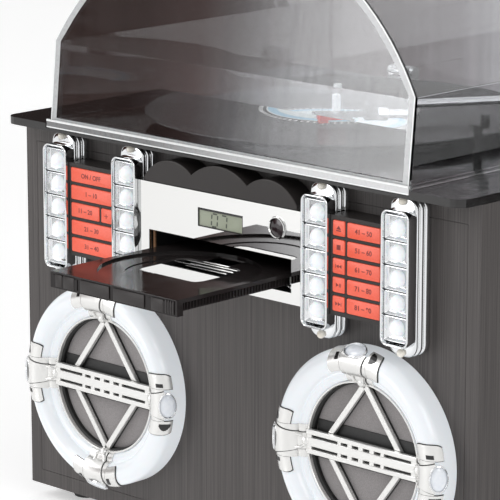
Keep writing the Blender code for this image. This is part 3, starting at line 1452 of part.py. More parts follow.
def make_ring_grilles():
    trim_ring = rectangle(TRIM_INNER, TRIM_OUTER, TRIM_BACK, TRIM_FRONT)[::-1]
    body = turned("ring_grille_left", trim_ring, FACING, RING_STEPS, closed=True)
    outer = ring_contour(GAP + CLAMP_SHEET)
    inner = ring_contour(GAP)
    half_front = TRIM_FRONT / 2
    section = [(outer[0][0], half_front)] + outer + [(outer[-1][0], GAP), (inner[-1][0], GAP)]
    section += inner[::-1] + [(inner[0][0], half_front)]
    clamps = turned("clamps", section, FACING, RING_STEPS, closed=True)
    reach = TUBE_CENTRE + TUBE_RADIUS + CLAMP_SHEET * 2
    arm = CLAMP_HALF
    quarter = [(arm, arm), (arm, reach), (-arm, reach)]
    half = quarter + [(-v, u) for u, v in quarter]
    cross = half + [(-u, -v) for u, v in half]
    trim(clamps, front_sheet("cross", [cross], -reach, reach))
    join(body, clamps, make_diamond(), make_band())
    body.location = (-RING_X, BOARD_Y, RING_Z)
    colour(body, "chrome")
    copy_to(body, "ring_grille_right", (RING_X, BOARD_Y, RING_Z))


FLANGE_WIDTH = 0.007
SPEAKER_FLANGE = SPEAKER_HOLE + FLANGE_WIDTH
SPEAKER_SHEET = 0.002
SPEAKER_SIDES = 20
CONE_INSET = 0.008
CONE_RADIUS = SPEAKER_HOLE - CONE_INSET
CONE_DEPTH = 0.020
CAP_RISE = 0.008
CAP_RADIUS = 0.014
BASKET_RADIUS = 0.036
BASKET_DROP = 0.006
MAGNET_RADIUS = 0.032
MAGNET_DEPTH = 0.052


def make_speakers():
    seat = -BOARD_THICKNESS
    profile = [
        (0, seat - CONE_DEPTH + CAP_RISE),
        (CAP_RADIUS, seat - CONE_DEPTH),
        (CONE_RADIUS, seat - SPEAKER_SHEET * 2),
        (CONE_RADIUS + SPEAKER_SHEET, seat - SPEAKER_SHEET / 2),
        (SPEAKER_HOLE, seat - SPEAKER_SHEET / 2),
        (SPEAKER_HOLE, seat),
        (SPEAKER_FLANGE, seat),
        (SPEAKER_FLANGE, seat - SPEAKER_SHEET),
        (SPEAKER_HOLE - SPEAKER_SHEET, seat - SPEAKER_SHEET),
        (BASKET_RADIUS, seat - CONE_DEPTH - BASKET_DROP),
        (MAGNET_RADIUS, seat - CONE_DEPTH - BASKET_DROP),
        (MAGNET_RADIUS, seat - MAGNET_DEPTH),
        (0, seat - MAGNET_DEPTH),
    ]
    body = turned("speaker_left", profile, FACING, SPEAKER_SIDES)
    body.location = (-RING_X, BOARD_Y, RING_Z)
    colour(body, "steel")
    copy_to(body, "speaker_right", (RING_X, BOARD_Y, RING_Z))
    middle = (0, CLOTH_BACK + CLOTH_THICKNESS / 2, 0)
    body = rod("speaker_cloth_left", CLOTH_RADIUS, CLOTH_THICKNESS, middle, "Y", RING_STEPS)
    body.location = (-RING_X, BOARD_Y, RING_Z)
    colour(body, "cloth")
    copy_to(body, "speaker_cloth_right", (RING_X, BOARD_Y, RING_Z))


# Main board and transformer on the cabinet's floor
PILLAR_HEIGHT = 0.006
PILLAR_RADIUS = 0.0035
BOARD_SHEET = 0.0016
BOARD_HALF_X = 0.080
BOARD_HALF_Y = 0.050
BOARD_BEHIND = 0.155  # from the cabinet's front to the middle of the board
BOARD_MIDDLE = LIGHTS_REACH + BOARD_BEHIND
CHIP_HEIGHT = 0.004
SINK_HEIGHT = 0.022
CORE_HALF_X = 0.030
CORE_HALF_Y = 0.024
CORE_HEIGHT = 0.050
COIL_GROW = 0.010
CORE_INSET = 0.068  # from the cabinet's inner side
CORE_X = CORE_INSET - INNER_X


def make_inside():
    foot = INNER_FLOOR + GAP
    low = foot + PILLAR_HEIGHT
    high = low + BOARD_SHEET
    y = depth(BOARD_MIDDLE)
    across = (-BOARD_HALF_X, BOARD_HALF_X)
    body = block("main_board", across, (y - BOARD_HALF_Y, y + BOARD_HALF_Y), (low, high))
    pillar = PILLAR_HEIGHT + BOARD_SHEET / 2
    pillar_x, pillar_y = BOARD_HALF_X - PILLAR_RADIUS * 2, BOARD_HALF_Y - PILLAR_RADIUS * 2
    places = [(side * pillar_x, y + end * pillar_y, foot + pillar / 2) for side in (-1, 1) for end in (-1, 1)]
    pieces = [rod("pillar", PILLAR_RADIUS, pillar, middle, "Z", PIN_SIDES) for middle in places]
    base = high - BOARD_SHEET / 2
    chip = BOARD_HALF_Y / 4
    pieces.append(block("chip", (-chip, chip), (y - chip, y + chip), (base, high + CHIP_HEIGHT)))
    sink = BOARD_HALF_X / 2
    along = (y + chip * 2, y + chip * 2 + CHIP_HEIGHT)
    pieces.append(block("heat sink", (-sink, sink), along, (base, high + SINK_HEIGHT)))
    join(body, *pieces)
    colour(body, "board")

    across = (CORE_X - CORE_HALF_X, CORE_X + CORE_HALF_X)
    along = (y - CORE_HALF_Y, y + CORE_HALF_Y)
    body = block("transformer", across, along, (foot, foot + CORE_HEIGHT))
    grown = CORE_HALF_Y + COIL_GROW
    coil = block(
        "coil",
        (CORE_X - CORE_HALF_X / 2, CORE_X + CORE_HALF_X / 2),
        (y - grown, y + grown),
        (foot + CORE_HEIGHT / 4, foot + CORE_HEIGHT * 3 / 4),
    )
    join(body, coil)
    colour(body, "steel")


make_cabinet()
make_front_board()
make_rear_panel()
make_feet()
make_deck()
make_platter()
make_drive()
make_tonearm()
make_arm_rest()
make_lid()
make_hinges()
make_light_strips()
make_fascia()
make_crest()
make_key_panel(-1, "key_bezel_left")
make_key_panel(1, "key_bezel_right")
make_tray()
make_chassis(make_gear())
make_ring_light(-1, "light_ring_left")
make_ring_light(1, "light_ring_right")
make_ring_grilles()
make_speakers()
make_inside()
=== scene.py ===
from math import acos, asin, atan2, cos, hypot, pi, radians, sin, tan

import bmesh
import bpy
from mathutils import Matrix, Vector


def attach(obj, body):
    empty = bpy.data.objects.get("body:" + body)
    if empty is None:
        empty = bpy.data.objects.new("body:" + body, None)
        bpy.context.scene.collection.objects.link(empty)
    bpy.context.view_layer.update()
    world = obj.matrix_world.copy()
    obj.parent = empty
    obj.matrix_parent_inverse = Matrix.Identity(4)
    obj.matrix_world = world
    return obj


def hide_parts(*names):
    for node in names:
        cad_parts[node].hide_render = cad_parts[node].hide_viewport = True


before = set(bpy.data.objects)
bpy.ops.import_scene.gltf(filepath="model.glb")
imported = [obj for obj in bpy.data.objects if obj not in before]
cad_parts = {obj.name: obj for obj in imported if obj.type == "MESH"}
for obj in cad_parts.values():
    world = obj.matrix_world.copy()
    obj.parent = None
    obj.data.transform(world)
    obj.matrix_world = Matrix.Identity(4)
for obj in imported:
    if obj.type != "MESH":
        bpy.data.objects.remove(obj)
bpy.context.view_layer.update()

# Camera, floor and light. The photograph was taken from the right and a little above with a long
# lens, in a white studio: a pale floor, a big soft lamp high on the left and a weaker one on the
# right. Five cards that only mirrors and the clear lid see stand in for the rest of the room.
scene = bpy.context.scene
link = scene.collection.objects.link
camera_data = bpy.data.cameras.new("camera")
camera_data.lens = 218.46
camera_data.sensor_width = 36
camera = bpy.data.objects.new("camera", camera_data)
camera.location = (1.5428, -1.6838, 0.7514)
camera.rotation_euler = (radians(77.065), 0, radians(43.927))
link(camera)
scene.camera = camera
scene.view_settings.view_transform = "Standard"


def add(tree, kind, operation=None, **values):
    """A new shader node; values sets its inputs by name, with _ for a space."""
    node = tree.nodes.new("ShaderNode" + kind)
    if operation:
        node.operation = operation
    for socket, value in values.items():
        node.inputs[socket.replace("_", " ")].default_value = value
    return node


def wire(tree, *links):
    """Each link is a node, its output, the node that it feeds and the input there."""
    for start, output, end, socket in links:
        tree.links.new(start.outputs[output], end.inputs[socket])


world = bpy.data.worlds.new("studio")
scene.world = world
world.use_nodes = True
sky_tree = world.node_tree
sky = sky_tree.nodes["Background"]
sky.inputs["Color"].default_value = (1, 1, 1, 1)
rays = add(sky_tree, "LightPath")
seen = add(sky_tree, "Math", "MAXIMUM")
seen_more = add(sky_tree, "Math", "MAXIMUM")
level = add(sky_tree, "MapRange", To_Min=0.42, To_Max=1.0)
wire(
    sky_tree,
    (rays, "Is Camera Ray", seen, 0),
    (rays, "Is Glossy Ray", seen, 1),
    (seen, 0, seen_more, 0),
    (rays, "Is Transmission Ray", seen_more, 1),
    (seen_more, 0, level, "Value"),
    (level, "Result", sky, "Strength"),
)

for name, place, size, power in (
    ("lamp left", (-1.5, -1.9, 2.1), 1.8, 35),
    ("lamp right", (2.2, -0.9, 1.7), 1.4, 16),
):
    lamp_data = bpy.data.lights.new(name, "AREA")
    lamp_data.size = size
    lamp_data.energy = power
    lamp = bpy.data.objects.new(name, lamp_data)
    lamp.location = place
    towards = Vector((0, -0.05, 0.2)) - Vector(place)
    lamp.rotation_euler = towards.to_track_quat("-Z", "Y").to_euler()
    link(lamp)


def finish(name, colour, roughness, metallic=0.0, **more):
    """A Principled finish; more sets other sockets by name, with _ for a space."""
    made = bpy.data.materials.new(name)
    made.use_nodes = True
    shader = made.node_tree.nodes["Principled BSDF"]
    shader.inputs["Base Color"].default_value = (*colour, 1)
    shader.inputs["Roughness"].default_value = roughness
    shader.inputs["Metallic"].default_value = metallic
    for socket, value in more.items():
        shader.inputs[socket.replace("_", " ")].default_value = value
    return made


def mottle(made, scale, dark=None, light=None, bump=0.0, rough=None, detail=4.0, spread=0.5):
    """Noise, stretched by scale (per metre, on X, Y, Z or all), in the colour, roughness and bump."""
    tree = made.node_tree
    shader = tree.nodes["Principled BSDF"]
    place = add(tree, "TexCoord")
    stretch = add(tree, "Mapping", Scale=scale if isinstance(scale, tuple) else (scale,) * 3)
    noise = add(tree, "TexNoise", Scale=1, Detail=detail, Roughness=spread)
    wire(
        tree,
        (place, "Object", stretch, "Vector"),
        (stretch, "Vector", noise, "Vector"),
    )
    if dark:
        ramp = add(tree, "ValToRGB")
        for stop, position, colour in zip(ramp.color_ramp.elements, (0.33, 0.67), (dark, light)):
            stop.position = position
            stop.color = (*colour, 1)
        wire(tree, (noise, "Fac", ramp, "Fac"), (ramp, "Color", shader, "Base Color"))
    if rough:
        spans = add(tree, "MapRange", From_Min=0.3, From_Max=0.7, To_Min=rough[0], To_Max=rough[1])
        wire(tree, (noise, "Fac", spans, "Value"), (spans, "Result", shader, "Roughness"))
    if bump:
        relief = add(tree, "Bump", Strength=0.6, Distance=bump)
        wire(tree, (noise, "Fac", relief, "Height"), (relief, "Normal", shader, "Normal"))
    return made


def shell(name, form, made, body, angle=35):
    """A piece of the object, smooth except at its edges, that rides on a body."""
    bmesh.ops.remove_doubles(form, verts=form.verts, dist=1e-6)
    bmesh.ops.recalc_face_normals(form, faces=form.faces)
    mesh = bpy.data.meshes.new(name)
    form.to_mesh(mesh)
    form.free()
    mesh.materials.append(made)
    mesh.shade_smooth()
    mesh.set_sharp_from_angle(angle=radians(angle))
    piece = bpy.data.objects.new(name, mesh)
    link(piece)
    if body:
        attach(piece, body)
    return piece


def dress(made, *nodes):
    """Gives CAD nodes their finish."""
    for node in nodes:
        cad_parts[node].data.materials.clear()
        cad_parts[node].data.materials.append(made)


floor_form = bmesh.new()
bmesh.ops.create_grid(floor_form, x_segments=1, y_segments=1, size=6)
pale = finish("pale floor", (0.86, 0.86, 0.86), 0.6, Emission_Color=(1, 1, 1, 1), Emission_Strength=0.45)
mottle(pale, 3, (0.85, 0.85, 0.85), (0.87, 0.87, 0.87))
floor = shell("floor", floor_form, pale, None)


def gradient(tree, width, shades):
    """A colour ramp over a width along X, and the node of the coordinates that it is read from."""
    place = add(tree, "TexCoord")
    parts = add(tree, "SeparateXYZ")
    along = add(tree, "MapRange", From_Min=-width / 2, From_Max=width / 2)
    ramp = add(tree, "ValToRGB")
    stops = ramp.color_ramp.elements
    stops.remove(stops[1])
    for number, (position, colour) in enumerate(shades):
        stop = stops[0] if number == 0 else stops.new(position)
        stop.position = position
        stop.color = (*colour, 1)
    wire(
        tree,
        (place, "Object", parts, "Vector"),
        (parts, "X", along, "Value"),
        (along, "Result", ramp, "Fac"),
    )
    return ramp, place


def card(name, centre, across, width, height, strength, shades):
    """A backdrop that only reflections see. Its shades run along its width, with upright streaks."""
    form = bmesh.new()
    side = Vector(across).normalized()
    up = Vector((0, 0, 1))
    turn = Matrix((side, side.cross(up) * -1, up)).transposed().to_4x4()
    upright = Matrix.Diagonal((width, 1, height, 1)) @ Matrix.Rotation(pi / 2, 4, "X")
    bmesh.ops.create_grid(form, x_segments=1, y_segments=1, size=0.5, matrix=upright)
    made = finish(name, (0, 0, 0), 1.0, Specular_IOR_Level=0.0, Emission_Strength=strength)
    tree = made.node_tree
    ramp, place = gradient(tree, width, shades)
    stretch = add(tree, "Mapping", Scale=(90, 1, 0.6))
    streaks = add(tree, "TexNoise", Scale=1.0, Detail=3.0)
    uneven = add(tree, "MapRange", From_Min=0.3, From_Max=0.7, To_Min=0.80, To_Max=1.20)
    blend = add(tree, "VectorMath", "SCALE")
    wire(
        tree,
        (place, "Object", stretch, "Vector"),
        (stretch, "Vector", streaks, "Vector"),
        (streaks, "Fac", uneven, "Value"),
        (ramp, "Color", blend, 0),
        (uneven, "Result", blend, "Scale"),
        (blend, "Vector", tree.nodes["Principled BSDF"], "Emission Color"),
    )
    backdrop = shell(name, form, made, None)
    backdrop.matrix_world = Matrix.Translation(centre) @ turn
    backdrop.visible_camera = False
    backdrop.visible_diffuse = False
    backdrop.visible_shadow = False
    return backdrop


card(
    "card front left", (-1.95, -2.20, 0.62), (0.72, -0.694, 0), 3.0, 1.2, 5.5,
    (
        (0.0, (0.007, 0.005, 0.0045)), (0.44, (0.012, 0.005, 0.0035)), (0.472, (0.055, 0.036, 0.034)),
        (0.495, (0.16, 0.155, 0.16)), (0.515, (0.40, 0.40, 0.41)), (0.56, (0.74, 0.74, 0.75)),
        (0.62, (0.9, 0.9, 0.9)),
    ),
)
card(
    "card back left", (-1.35, 1.45, 0.80), (0.72, 0.694, 0), 3.0, 1.2, 0.8,
    (
        (0.0, (0.040, 0.030, 0.028)), (0.41, (0.050, 0.036, 0.034)), (0.477, (0.20, 0.18, 0.19)),
        (0.523, (0.53, 0.53, 0.55)), (0.567, (0.90, 0.90, 0.92)),
    ),
)
near_card = card(
    "card behind", (-0.50, 0.75, 0.30), (0.72, 0.694, 0), 2.4, 0.6, 1.0,
    (
        (0.0, (0.034, 0.022, 0.019)), (0.42, (0.050, 0.037, 0.035)), (0.50, (0.20, 0.18, 0.19)),
        (0.56, (0.60, 0.60, 0.62)), (0.62, (1, 1, 1)),
    ),
)
near_card.visible_glossy = False
dim = ((0.0, (0.03, 0.03, 0.03)), (1.0, (0.03, 0.03, 0.03)))
high_card = card("card high left", (-1.25, 0.10, 1.55), (0, 1, 0), 0.75, 0.5, 1.0, dim)
side_card = card("card back right", (1.05, 0.95, 0.35), (0.70, -0.71, 0), 1.3, 0.7, 1.0, dim)
for dim_card in (high_card, side_card):
    dim_card.visible_transmission = False


# Cabinet: boards of fibreboard wrapped in black-stained wood veneer whose grain runs upright. The
# front board is set flush under the top rail, and four rubber feet are screwed underneath.
wood = finish("black veneer", (0.06, 0.055, 0.053), 0.5, Specular_IOR_Level=0.35)
mottle(
    wood, (1000, 1000, 7), (0.042, 0.037, 0.036), (0.098, 0.088, 0.085),
    bump=0.00022, rough=(0.45, 0.62), detail=6, spread=0.65,
)
dress(wood, "cabinet", "front_baffle")
foot_rubber = mottle(finish("foot rubber", (0.02, 0.02, 0.02), 0.8), 900, bump=0.00008)
dress(foot_rubber, "foot_1", "foot_2", "foot_3", "foot_4")
back_plastic = finish("back plastic", (0.022, 0.022, 0.023), 0.5)
mottle(back_plastic, 1500, bump=0.00012, rough=(0.42, 0.58))
dress(back_plastic, "rear_panel")


# Deck: a moulded gloss-black plate over the cabinet with rounded corners, and the lid's two steel
# hinges screwed to it at the back.
gloss = mottle(finish("gloss black", (0.012, 0.011, 0.011), 0.14), 120, rough=(0.09, 0.17))
dress(gloss, "deck")
steel = finish("brushed steel", (0.56, 0.56, 0.57), 0.3, 1.0)
mottle(steel, (60, 60, 2500), rough=(0.22, 0.38), bump=0.00003)
dress(steel, "hinge_left", "hinge_right", "turntable_motor")


# Turntable: an alloy platter with a rubber mat, a plain plated spindle, the motor's pulley and a
# flat rubber belt round the drum under the platter.
RECORD_TOP = 0.3285
SPINDLE = Vector((-0.027, 0.0463, 0))


def lathe(form, profile, steps, place, close=False):
    """Turns (radius, height) points round the Z axis of a matrix."""
    rings = []
    turns = [2 * pi * step / steps for step in range(steps)]
    for radius, height in profile:
        if radius < 1e-7:
            rings.append([form.verts.new(place @ Vector((0, 0, height)))])
        else:
            points = [place @ Vector((radius * cos(a), radius * sin(a), height)) for a in turns]
            rings.append([form.verts.new(point) for point in points])
    pairs = list(zip(rings, rings[1:]))
    if close:
        pairs.append((rings[-1], rings[0]))
    for first, second in pairs:
        for step in range(steps):
            after = (step + 1) % steps
            if len(first) == 1:
                form.faces.new((first[0], second[step], second[after]))
            elif len(second) == 1:
                form.faces.new((first[step], second[0], first[after]))
            else:
                form.faces.new((first[step], second[step], second[after], first[after]))
    return form


alloy = finish("turned alloy", (0.60, 0.60, 0.62), 0.25, 1.0)
mottle(alloy, (40, 40, 1500), rough=(0.18, 0.34), bump=0.00002)
chrome = finish("chrome plate", (0.70, 0.71, 0.72), 0.05, 1.0)
mottle(chrome, 35, rough=(0.03, 0.08), bump=0.00002)
mat_rubber = mottle(finish("mat rubber", (0.03, 0.03, 0.032), 0.75), 900, bump=0.0001)
standing = Matrix.Translation(SPINDLE)
platter_profile = [
    (0.0037, 0.3264), (0.0995, 0.3264), (0.1, 0.3260), (0.1, 0.3231), (0.0995, 0.3227),
    (0.0806, 0.3226), (0.0805, 0.3192), (0.0780, 0.3192), (0.0780, 0.3226), (0.0115, 0.3226),
    (0.0115, 0.3208), (0.0037, 0.3208),
]
platter_form = lathe(bmesh.new(), platter_profile, 96, standing, True)
platter = shell("platter_disc", platter_form, alloy, "turning_platter")
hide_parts("platter")
mat_profile = [(0.0040, 0.3265), (0.099, 0.3265), (0.099, 0.3267), (0.0040, 0.3267)]
mat_form = lathe(bmesh.new(), mat_profile, 96, standing, True)
shell("platter_mat", mat_form, mat_rubber, "turning_platter")
tip = RECORD_TOP + 0.0200
spindle_profile = [
    (0, tip), (0.0024, tip - 0.0001), (0.0030, tip - 0.0004), (0.0033, tip - 0.0010),
    (0.00335, tip - 0.0020), (0.00335, 0.3060), (0, 0.3060),
]
spindle_plate = finish("spindle plate", (0.68, 0.69, 0.70), 0.3)
mottle(spindle_plate, (200, 200, 1200), rough=(0.28, 0.42))
spindle_form = lathe(bmesh.new(), spindle_profile, 32, standing)
shell("spindle", spindle_form, spindle_plate, "turning_platter")
dress(alloy, "motor_pulley")
belt_rubber = mottle(finish("belt rubber", (0.018, 0.018, 0.018), 0.7), 800, bump=0.00005)
dress(belt_rubber, "drive_belt")


# Record: a pressed vinyl disc with spiral grooves in bands, a smooth rim and run-out, and a pale
# blue-grey paper label left plain, with a darker blue edge and white speed marks round it.
GROOVE_PITCH = 0.0006
BAND_PITCH = 0.0085
vinyl = finish("vinyl", (0.011, 0.011, 0.012), 0.2, Specular_IOR_Level=0.5)
tree = vinyl.node_tree
shader = tree.nodes["Principled BSDF"]
place = add(tree, "TexCoord")
flatten = add(tree, "VectorMath", "MULTIPLY")
flatten.inputs[1].default_value = (1, 1, 0)
apart = add(tree, "VectorMath", "LENGTH")
fine = add(tree, "Math", "MULTIPLY")
fine.inputs[1].default_value = 2 * pi / GROOVE_PITCH
wave = add(tree, "Math", "SINE")
relief = add(tree, "Bump", Strength=0.35, Distance=0.00006)
bands = add(tree, "Math", "PINGPONG")
bands.inputs[1].default_value = BAND_PITCH
banded = add(tree, "MapRange", From_Min=0.0, From_Max=0.0009, To_Min=0.08, To_Max=0.26)
wire(
    tree,
    (place, "Object", flatten, 0),
    (flatten, "Vector", apart, 0),
    (apart, "Value", fine, 0),
    (fine, 0, wave, 0),
    (wave, 0, relief, "Height"),
    (relief, "Normal", shader, "Normal"),
    (apart, "Value", bands, 0),
    (bands, 0, banded, "Value"),
    (banded, "Result", shader, "Roughness"),
)

record_foot = RECORD_TOP - 0.0016
sunk, raised = RECORD_TOP - 0.0003, record_foot + 0.0003
record_profile = [
    (0.0039, RECORD_TOP), (0.0568, RECORD_TOP), (0.0574, sunk), (0.1440, sunk), (0.1455, RECORD_TOP),
    (0.1503, RECORD_TOP), (0.1510, RECORD_TOP - 0.0008), (0.1503, record_foot), (0.1455, record_foot),
    (0.1440, raised), (0.0574, raised), (0.0568, record_foot), (0.0039, record_foot),
]
record_form = lathe(bmesh.new(), record_profile, 160, Matrix.Identity(4), True)
record = shell("vinyl_disc", record_form, vinyl, None)
record.location = SPINDLE
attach(record, "turning_platter")
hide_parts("record")
label_paper = finish("label paper", (0.64, 0.70, 0.71), 0.45)
mottle(label_paper, 300, (0.62, 0.68, 0.69), (0.66, 0.72, 0.73))
label_print = finish("label print", (0.28, 0.50, 0.64), 0.45)
mottle(label_print, 300, (0.26, 0.48, 0.62), (0.30, 0.52, 0.66))
paper = RECORD_TOP + 0.0001
label_profile = [(0.0040, paper - 0.0002), (0.0040, paper), (0.0560, paper), (0.0562, paper - 0.0002)]
label_form = lathe(bmesh.new(), label_profile, 96, standing)
shell("record_label", label_form, label_paper, "turning_platter")
INK = 0.00005
for number, (near, far) in enumerate(((0.0478, 0.0548), (0.0160, 0.0172)), 1):
    ring_profile = [(near, paper - INK), (near, paper + INK), (far, paper + INK), (far, paper - INK)]
    ring_form = lathe(bmesh.new(), ring_profile, 96, standing)
    shell(f"label_ring_{number}", ring_form, label_print, "turning_platter")


def skin(form, loops):
    """Faces between loops of equally many points, each joined to the next."""
    for first, second in zip(loops, loops[1:]):
        for step in range(len(first)):
            after = (step + 1) % len(first)
            form.faces.new((first[step], first[after], second[after], second[step]))


def prism(form, front, rear):
    """A solid between two flat loops of points."""
    loops = [[form.verts.new(point) for point in points] for points in (front, rear)]
    for loop in loops:
        form.faces.new(loop)
    skin(form, loops)


white_print = finish("white print", (0.80, 0.80, 0.79), 0.5)
mottle(white_print, 500, (0.76, 0.76, 0.75), (0.84, 0.84, 0.83))
MARKS = 72
MARK_CORNERS = ((0.0588, -0.0008), (0.0622, -0.0009), (0.0622, 0.0009), (0.0588, 0.0008))
marks_form = bmesh.new()
for step in range(MARKS):
    turn = standing @ Matrix.Rotation(2 * pi * step / MARKS, 4, "Z")
    top, under = (
        [turn @ Vector((x, y, RECORD_TOP - down)) for x, y in MARK_CORNERS] for down in (0.00015, 0.00035)
    )
    prism(marks_form, top, under)
shell("speed_marks", marks_form, white_print, "turning_platter")


# Tonearm: a straight alloy tube in a forked yoke on a black post, with a counterweight behind, a
# black headshell with a finger lift, and a small red plastic cartridge.
ARM_Z = 0.3430
PIVOT = Vector((0.130, 0.1653, 0))
arm_place = Matrix.Translation(PIVOT) @ Matrix.Rotation(radians(-121.9), 4, "Z")
dress(gloss, "arm_base", "arm_rest", "headshell")
dress(alloy, "arm_yoke", "tonearm")
red_plastic = finish("cartridge red", (0.80, 0.035, 0.022), 0.3)
mottle(red_plastic, 400, (0.74, 0.030, 0.020), (0.86, 0.040, 0.025))


def brick(form, low, high, bevel=0.0, segments=2, place=None):
    """A box with softened edges."""
    sizes = [b - a for a, b in zip(low, high)]
    centre = [(a + b) / 2 for a, b in zip(low, high)]
    fit = Matrix.Translation(centre) @ Matrix.Diagonal((*sizes, 1))
    made = bmesh.ops.create_cube(form, size=1, matrix=fit)
    verts = made["verts"]
    if bevel:
        edges = {highlight for vert in verts for highlight in vert.link_edges}
        found = bmesh.ops.bevel(
            form, geom=list(edges), offset=bevel, segments=segments, affect="EDGES", profile=0.5
        )
        verts = found["verts"]
    if place:
        bmesh.ops.transform(form, matrix=place, verts=list(set(verts)))
    return form


def along_arm(start, end):
    """A place on the arm's axis, with Z along the tube."""
    middle = Matrix.Translation(((start + end) / 2, 0, ARM_Z))
    return arm_place @ middle @ Matrix.Rotation(pi / 2, 4, "Y")


cartridge_form = bmesh.new()
brick(cartridge_form, (0.1985, -0.0042, 0.3335), (0.2200, 0.0042, 0.3385), 0.0007, 2, arm_place)
brick(cartridge_form, (0.2120, -0.0022, 0.3312), (0.2195, 0.0022, 0.3340), 0.0005, 2, arm_place)
needle_profile = [(0, 0.3292), (0.0003, 0.3297), (0.0007, 0.3320), (0, 0.3320)]
needle_place = arm_place @ Matrix.Translation((0.2160, 0, 0))
cartridge = shell("cartridge_red", cartridge_form, red_plastic, "arm_tube")
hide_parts("cartridge")
shell("stylus", lathe(bmesh.new(), needle_profile, 16, needle_place), steel, "arm_tube")
mount_form = brick(bmesh.new(), (0.1915, -0.0055, 0.3383), (0.2205, 0.0055, 0.3400), 0.0004, 2, arm_place)
shell("cartridge_mount", mount_form, gloss, "arm_tube")

SOFT = 0.0004
for name, start, end, radius in (
    ("weight_dial", -0.0185, -0.0150, 0.0112),
    ("weight_ring", -0.0335, -0.0310, 0.0110),
    ("arm_collar", 0.0520, 0.0600, 0.0042),
    ("shell_nut", 0.1640, 0.1718, 0.0050),
):
    half = (end - start) / 2
    highlight = radius - SOFT
    profile = [
        (0, half), (highlight, half), (radius, half - SOFT), (radius, SOFT - half), (highlight, -half), (0, -half),
    ]
    look, slot = (chrome, "chrome_trim") if name == "shell_nut" else (gloss, "black_plastic")
    shell(name, lathe(bmesh.new(), profile, 48, along_arm(start, end)), look, "arm_tube")


def bar(form, points, radius, sides=10):
    """A round bar along a list of points."""
    rings = []
    turns = [2 * pi * side / sides for side in range(sides)]
    for index, point in enumerate(points):
        ahead = points[min(index + 1, len(points) - 1)] - points[max(index - 1, 0)]
        turn = ahead.to_track_quat("Z", "Y").to_matrix()
        round_it = [point + turn @ Vector((radius * cos(a), radius * sin(a), 0)) for a in turns]
        rings.append([form.verts.new(place) for place in round_it])
    skin(form, rings)
    form.faces.new(rings[0])
    form.faces.new(rings[-1])
    return form


lift_path = [
    arm_place @ Vector((0.203, out, ARM_Z + rise))
    for out, rise in ((0.0070, 0), (0.0120, 0), (0.0165, 0.0015), (0.0195, 0.0050))
]
shell("finger_lift", bar(bmesh.new(), lift_path, 0.0007), chrome, "arm_tube")
for side, name in ((-1, "shell_screw_right"), (1, "shell_screw_left")):
    head = arm_place @ Matrix.Translation((0.2065, side * 0.0045, ARM_Z + 0.0012))
    profile = [(0, 0.0011), (0.0010, 0.0010), (0.0016, 0.0005), (0.0016, -0.0001), (0, -0.0001)]
    shell(name, lathe(bmesh.new(), profile, 20, head), chrome, "arm_tube")


# Lid: an arched cover moulded in clear acrylic, open underneath, with a thick flange round its
# foot. The raised rim of its front pane and the apron below are frosted. The thin white lines along
# their edges are painted highlights, and the apron's shading from dark at the left to white at the
# right is a painted reflection.
acrylic = finish("clear acrylic", (0.93, 0.94, 0.95), 0.02, Transmission_Weight=1.0, IOR=1.49)
mottle(acrylic, 30, rough=(0.0, 0.04))
dress(acrylic, "lid")
frosted_acrylic = finish("frosted acrylic", (0.84, 0.85, 0.86), 0.3, Alpha=0.52)
mottle(frosted_acrylic, 420, (0.80, 0.81, 0.82), (0.88, 0.89, 0.90), rough=(0.22, 0.38))
# White lines round the front pane's rim and along the apron's upper and lower edges: painted highlights of
# light caught in the acrylic's edges.
highlight_acrylic = finish("painted highlight acrylic", (0.93, 0.94, 0.94), 0.12)
mottle(highlight_acrylic, 300, (0.91, 0.92, 0.92), (0.95, 0.96, 0.96), rough=(0.08, 0.16))
LID_FOOT = 0.3186
LID_FRONT = -0.1142
LID_RAKE = tan(radians(5.5))
PANE_HALF = 0.1845
PANE_SHOULDER = 0.3826
ARCH_Z = 0.27822
ARCH_RADIUS = 0.21198


def pane_outline(inset, low):
    """The front pane's outline, as (x, z), from its lower right corner round over the arch."""
    half = PANE_HALF - inset
    radius = ARCH_RADIUS - inset
    start = asin((PANE_SHOULDER - ARCH_Z) / radius)
    arch = [start + (pi - 2 * start) * step / 40 for step in range(41)]
    upper = [(radius * cos(a), ARCH_Z + radius * sin(a)) for a in arch]
    upper[0], upper[-1] = (half, upper[0][1]), (-half, upper[-1][1])
    return [(half, low)] + upper + [(-half, low)]


def pane_sheet(name, outer, inner, proud, thick, made):
    """A thin frame between two outlines, lying on the raked front of the lid."""
    form = bmesh.new()
    loops = []
    for points, depth in ((outer, 0), (inner, 0), (inner, thick), (outer, thick)):
        face = LID_FRONT - proud + depth
        loops.append([form.verts.new((x, face + (z - LID_FOOT) * LID_RAKE, z)) for x, z in points])
    skin(form, loops + loops[:1])
    shell(name, form, made, "lid_body")


rim_outer, rim_inner = pane_outline(0.0003, 0.3190), pane_outline(0.0058, 0.3229)
pane_sheet("lid_rim", rim_outer, rim_inner, 0.00015, 0.0003, frosted_acrylic)
highlight_outer, highlight_inner = pane_outline(0.0, 0.3188), pane_outline(0.0008, 0.3196)
pane_sheet("lid_rim_highlight", highlight_outer, highlight_inner, 0.0003, 0.0006, highlight_acrylic)

apron_form = brick(bmesh.new(), (-0.1869, -0.11685, 0.3152), (0.1869, -0.11655, 0.3200), 0.0001, 1)
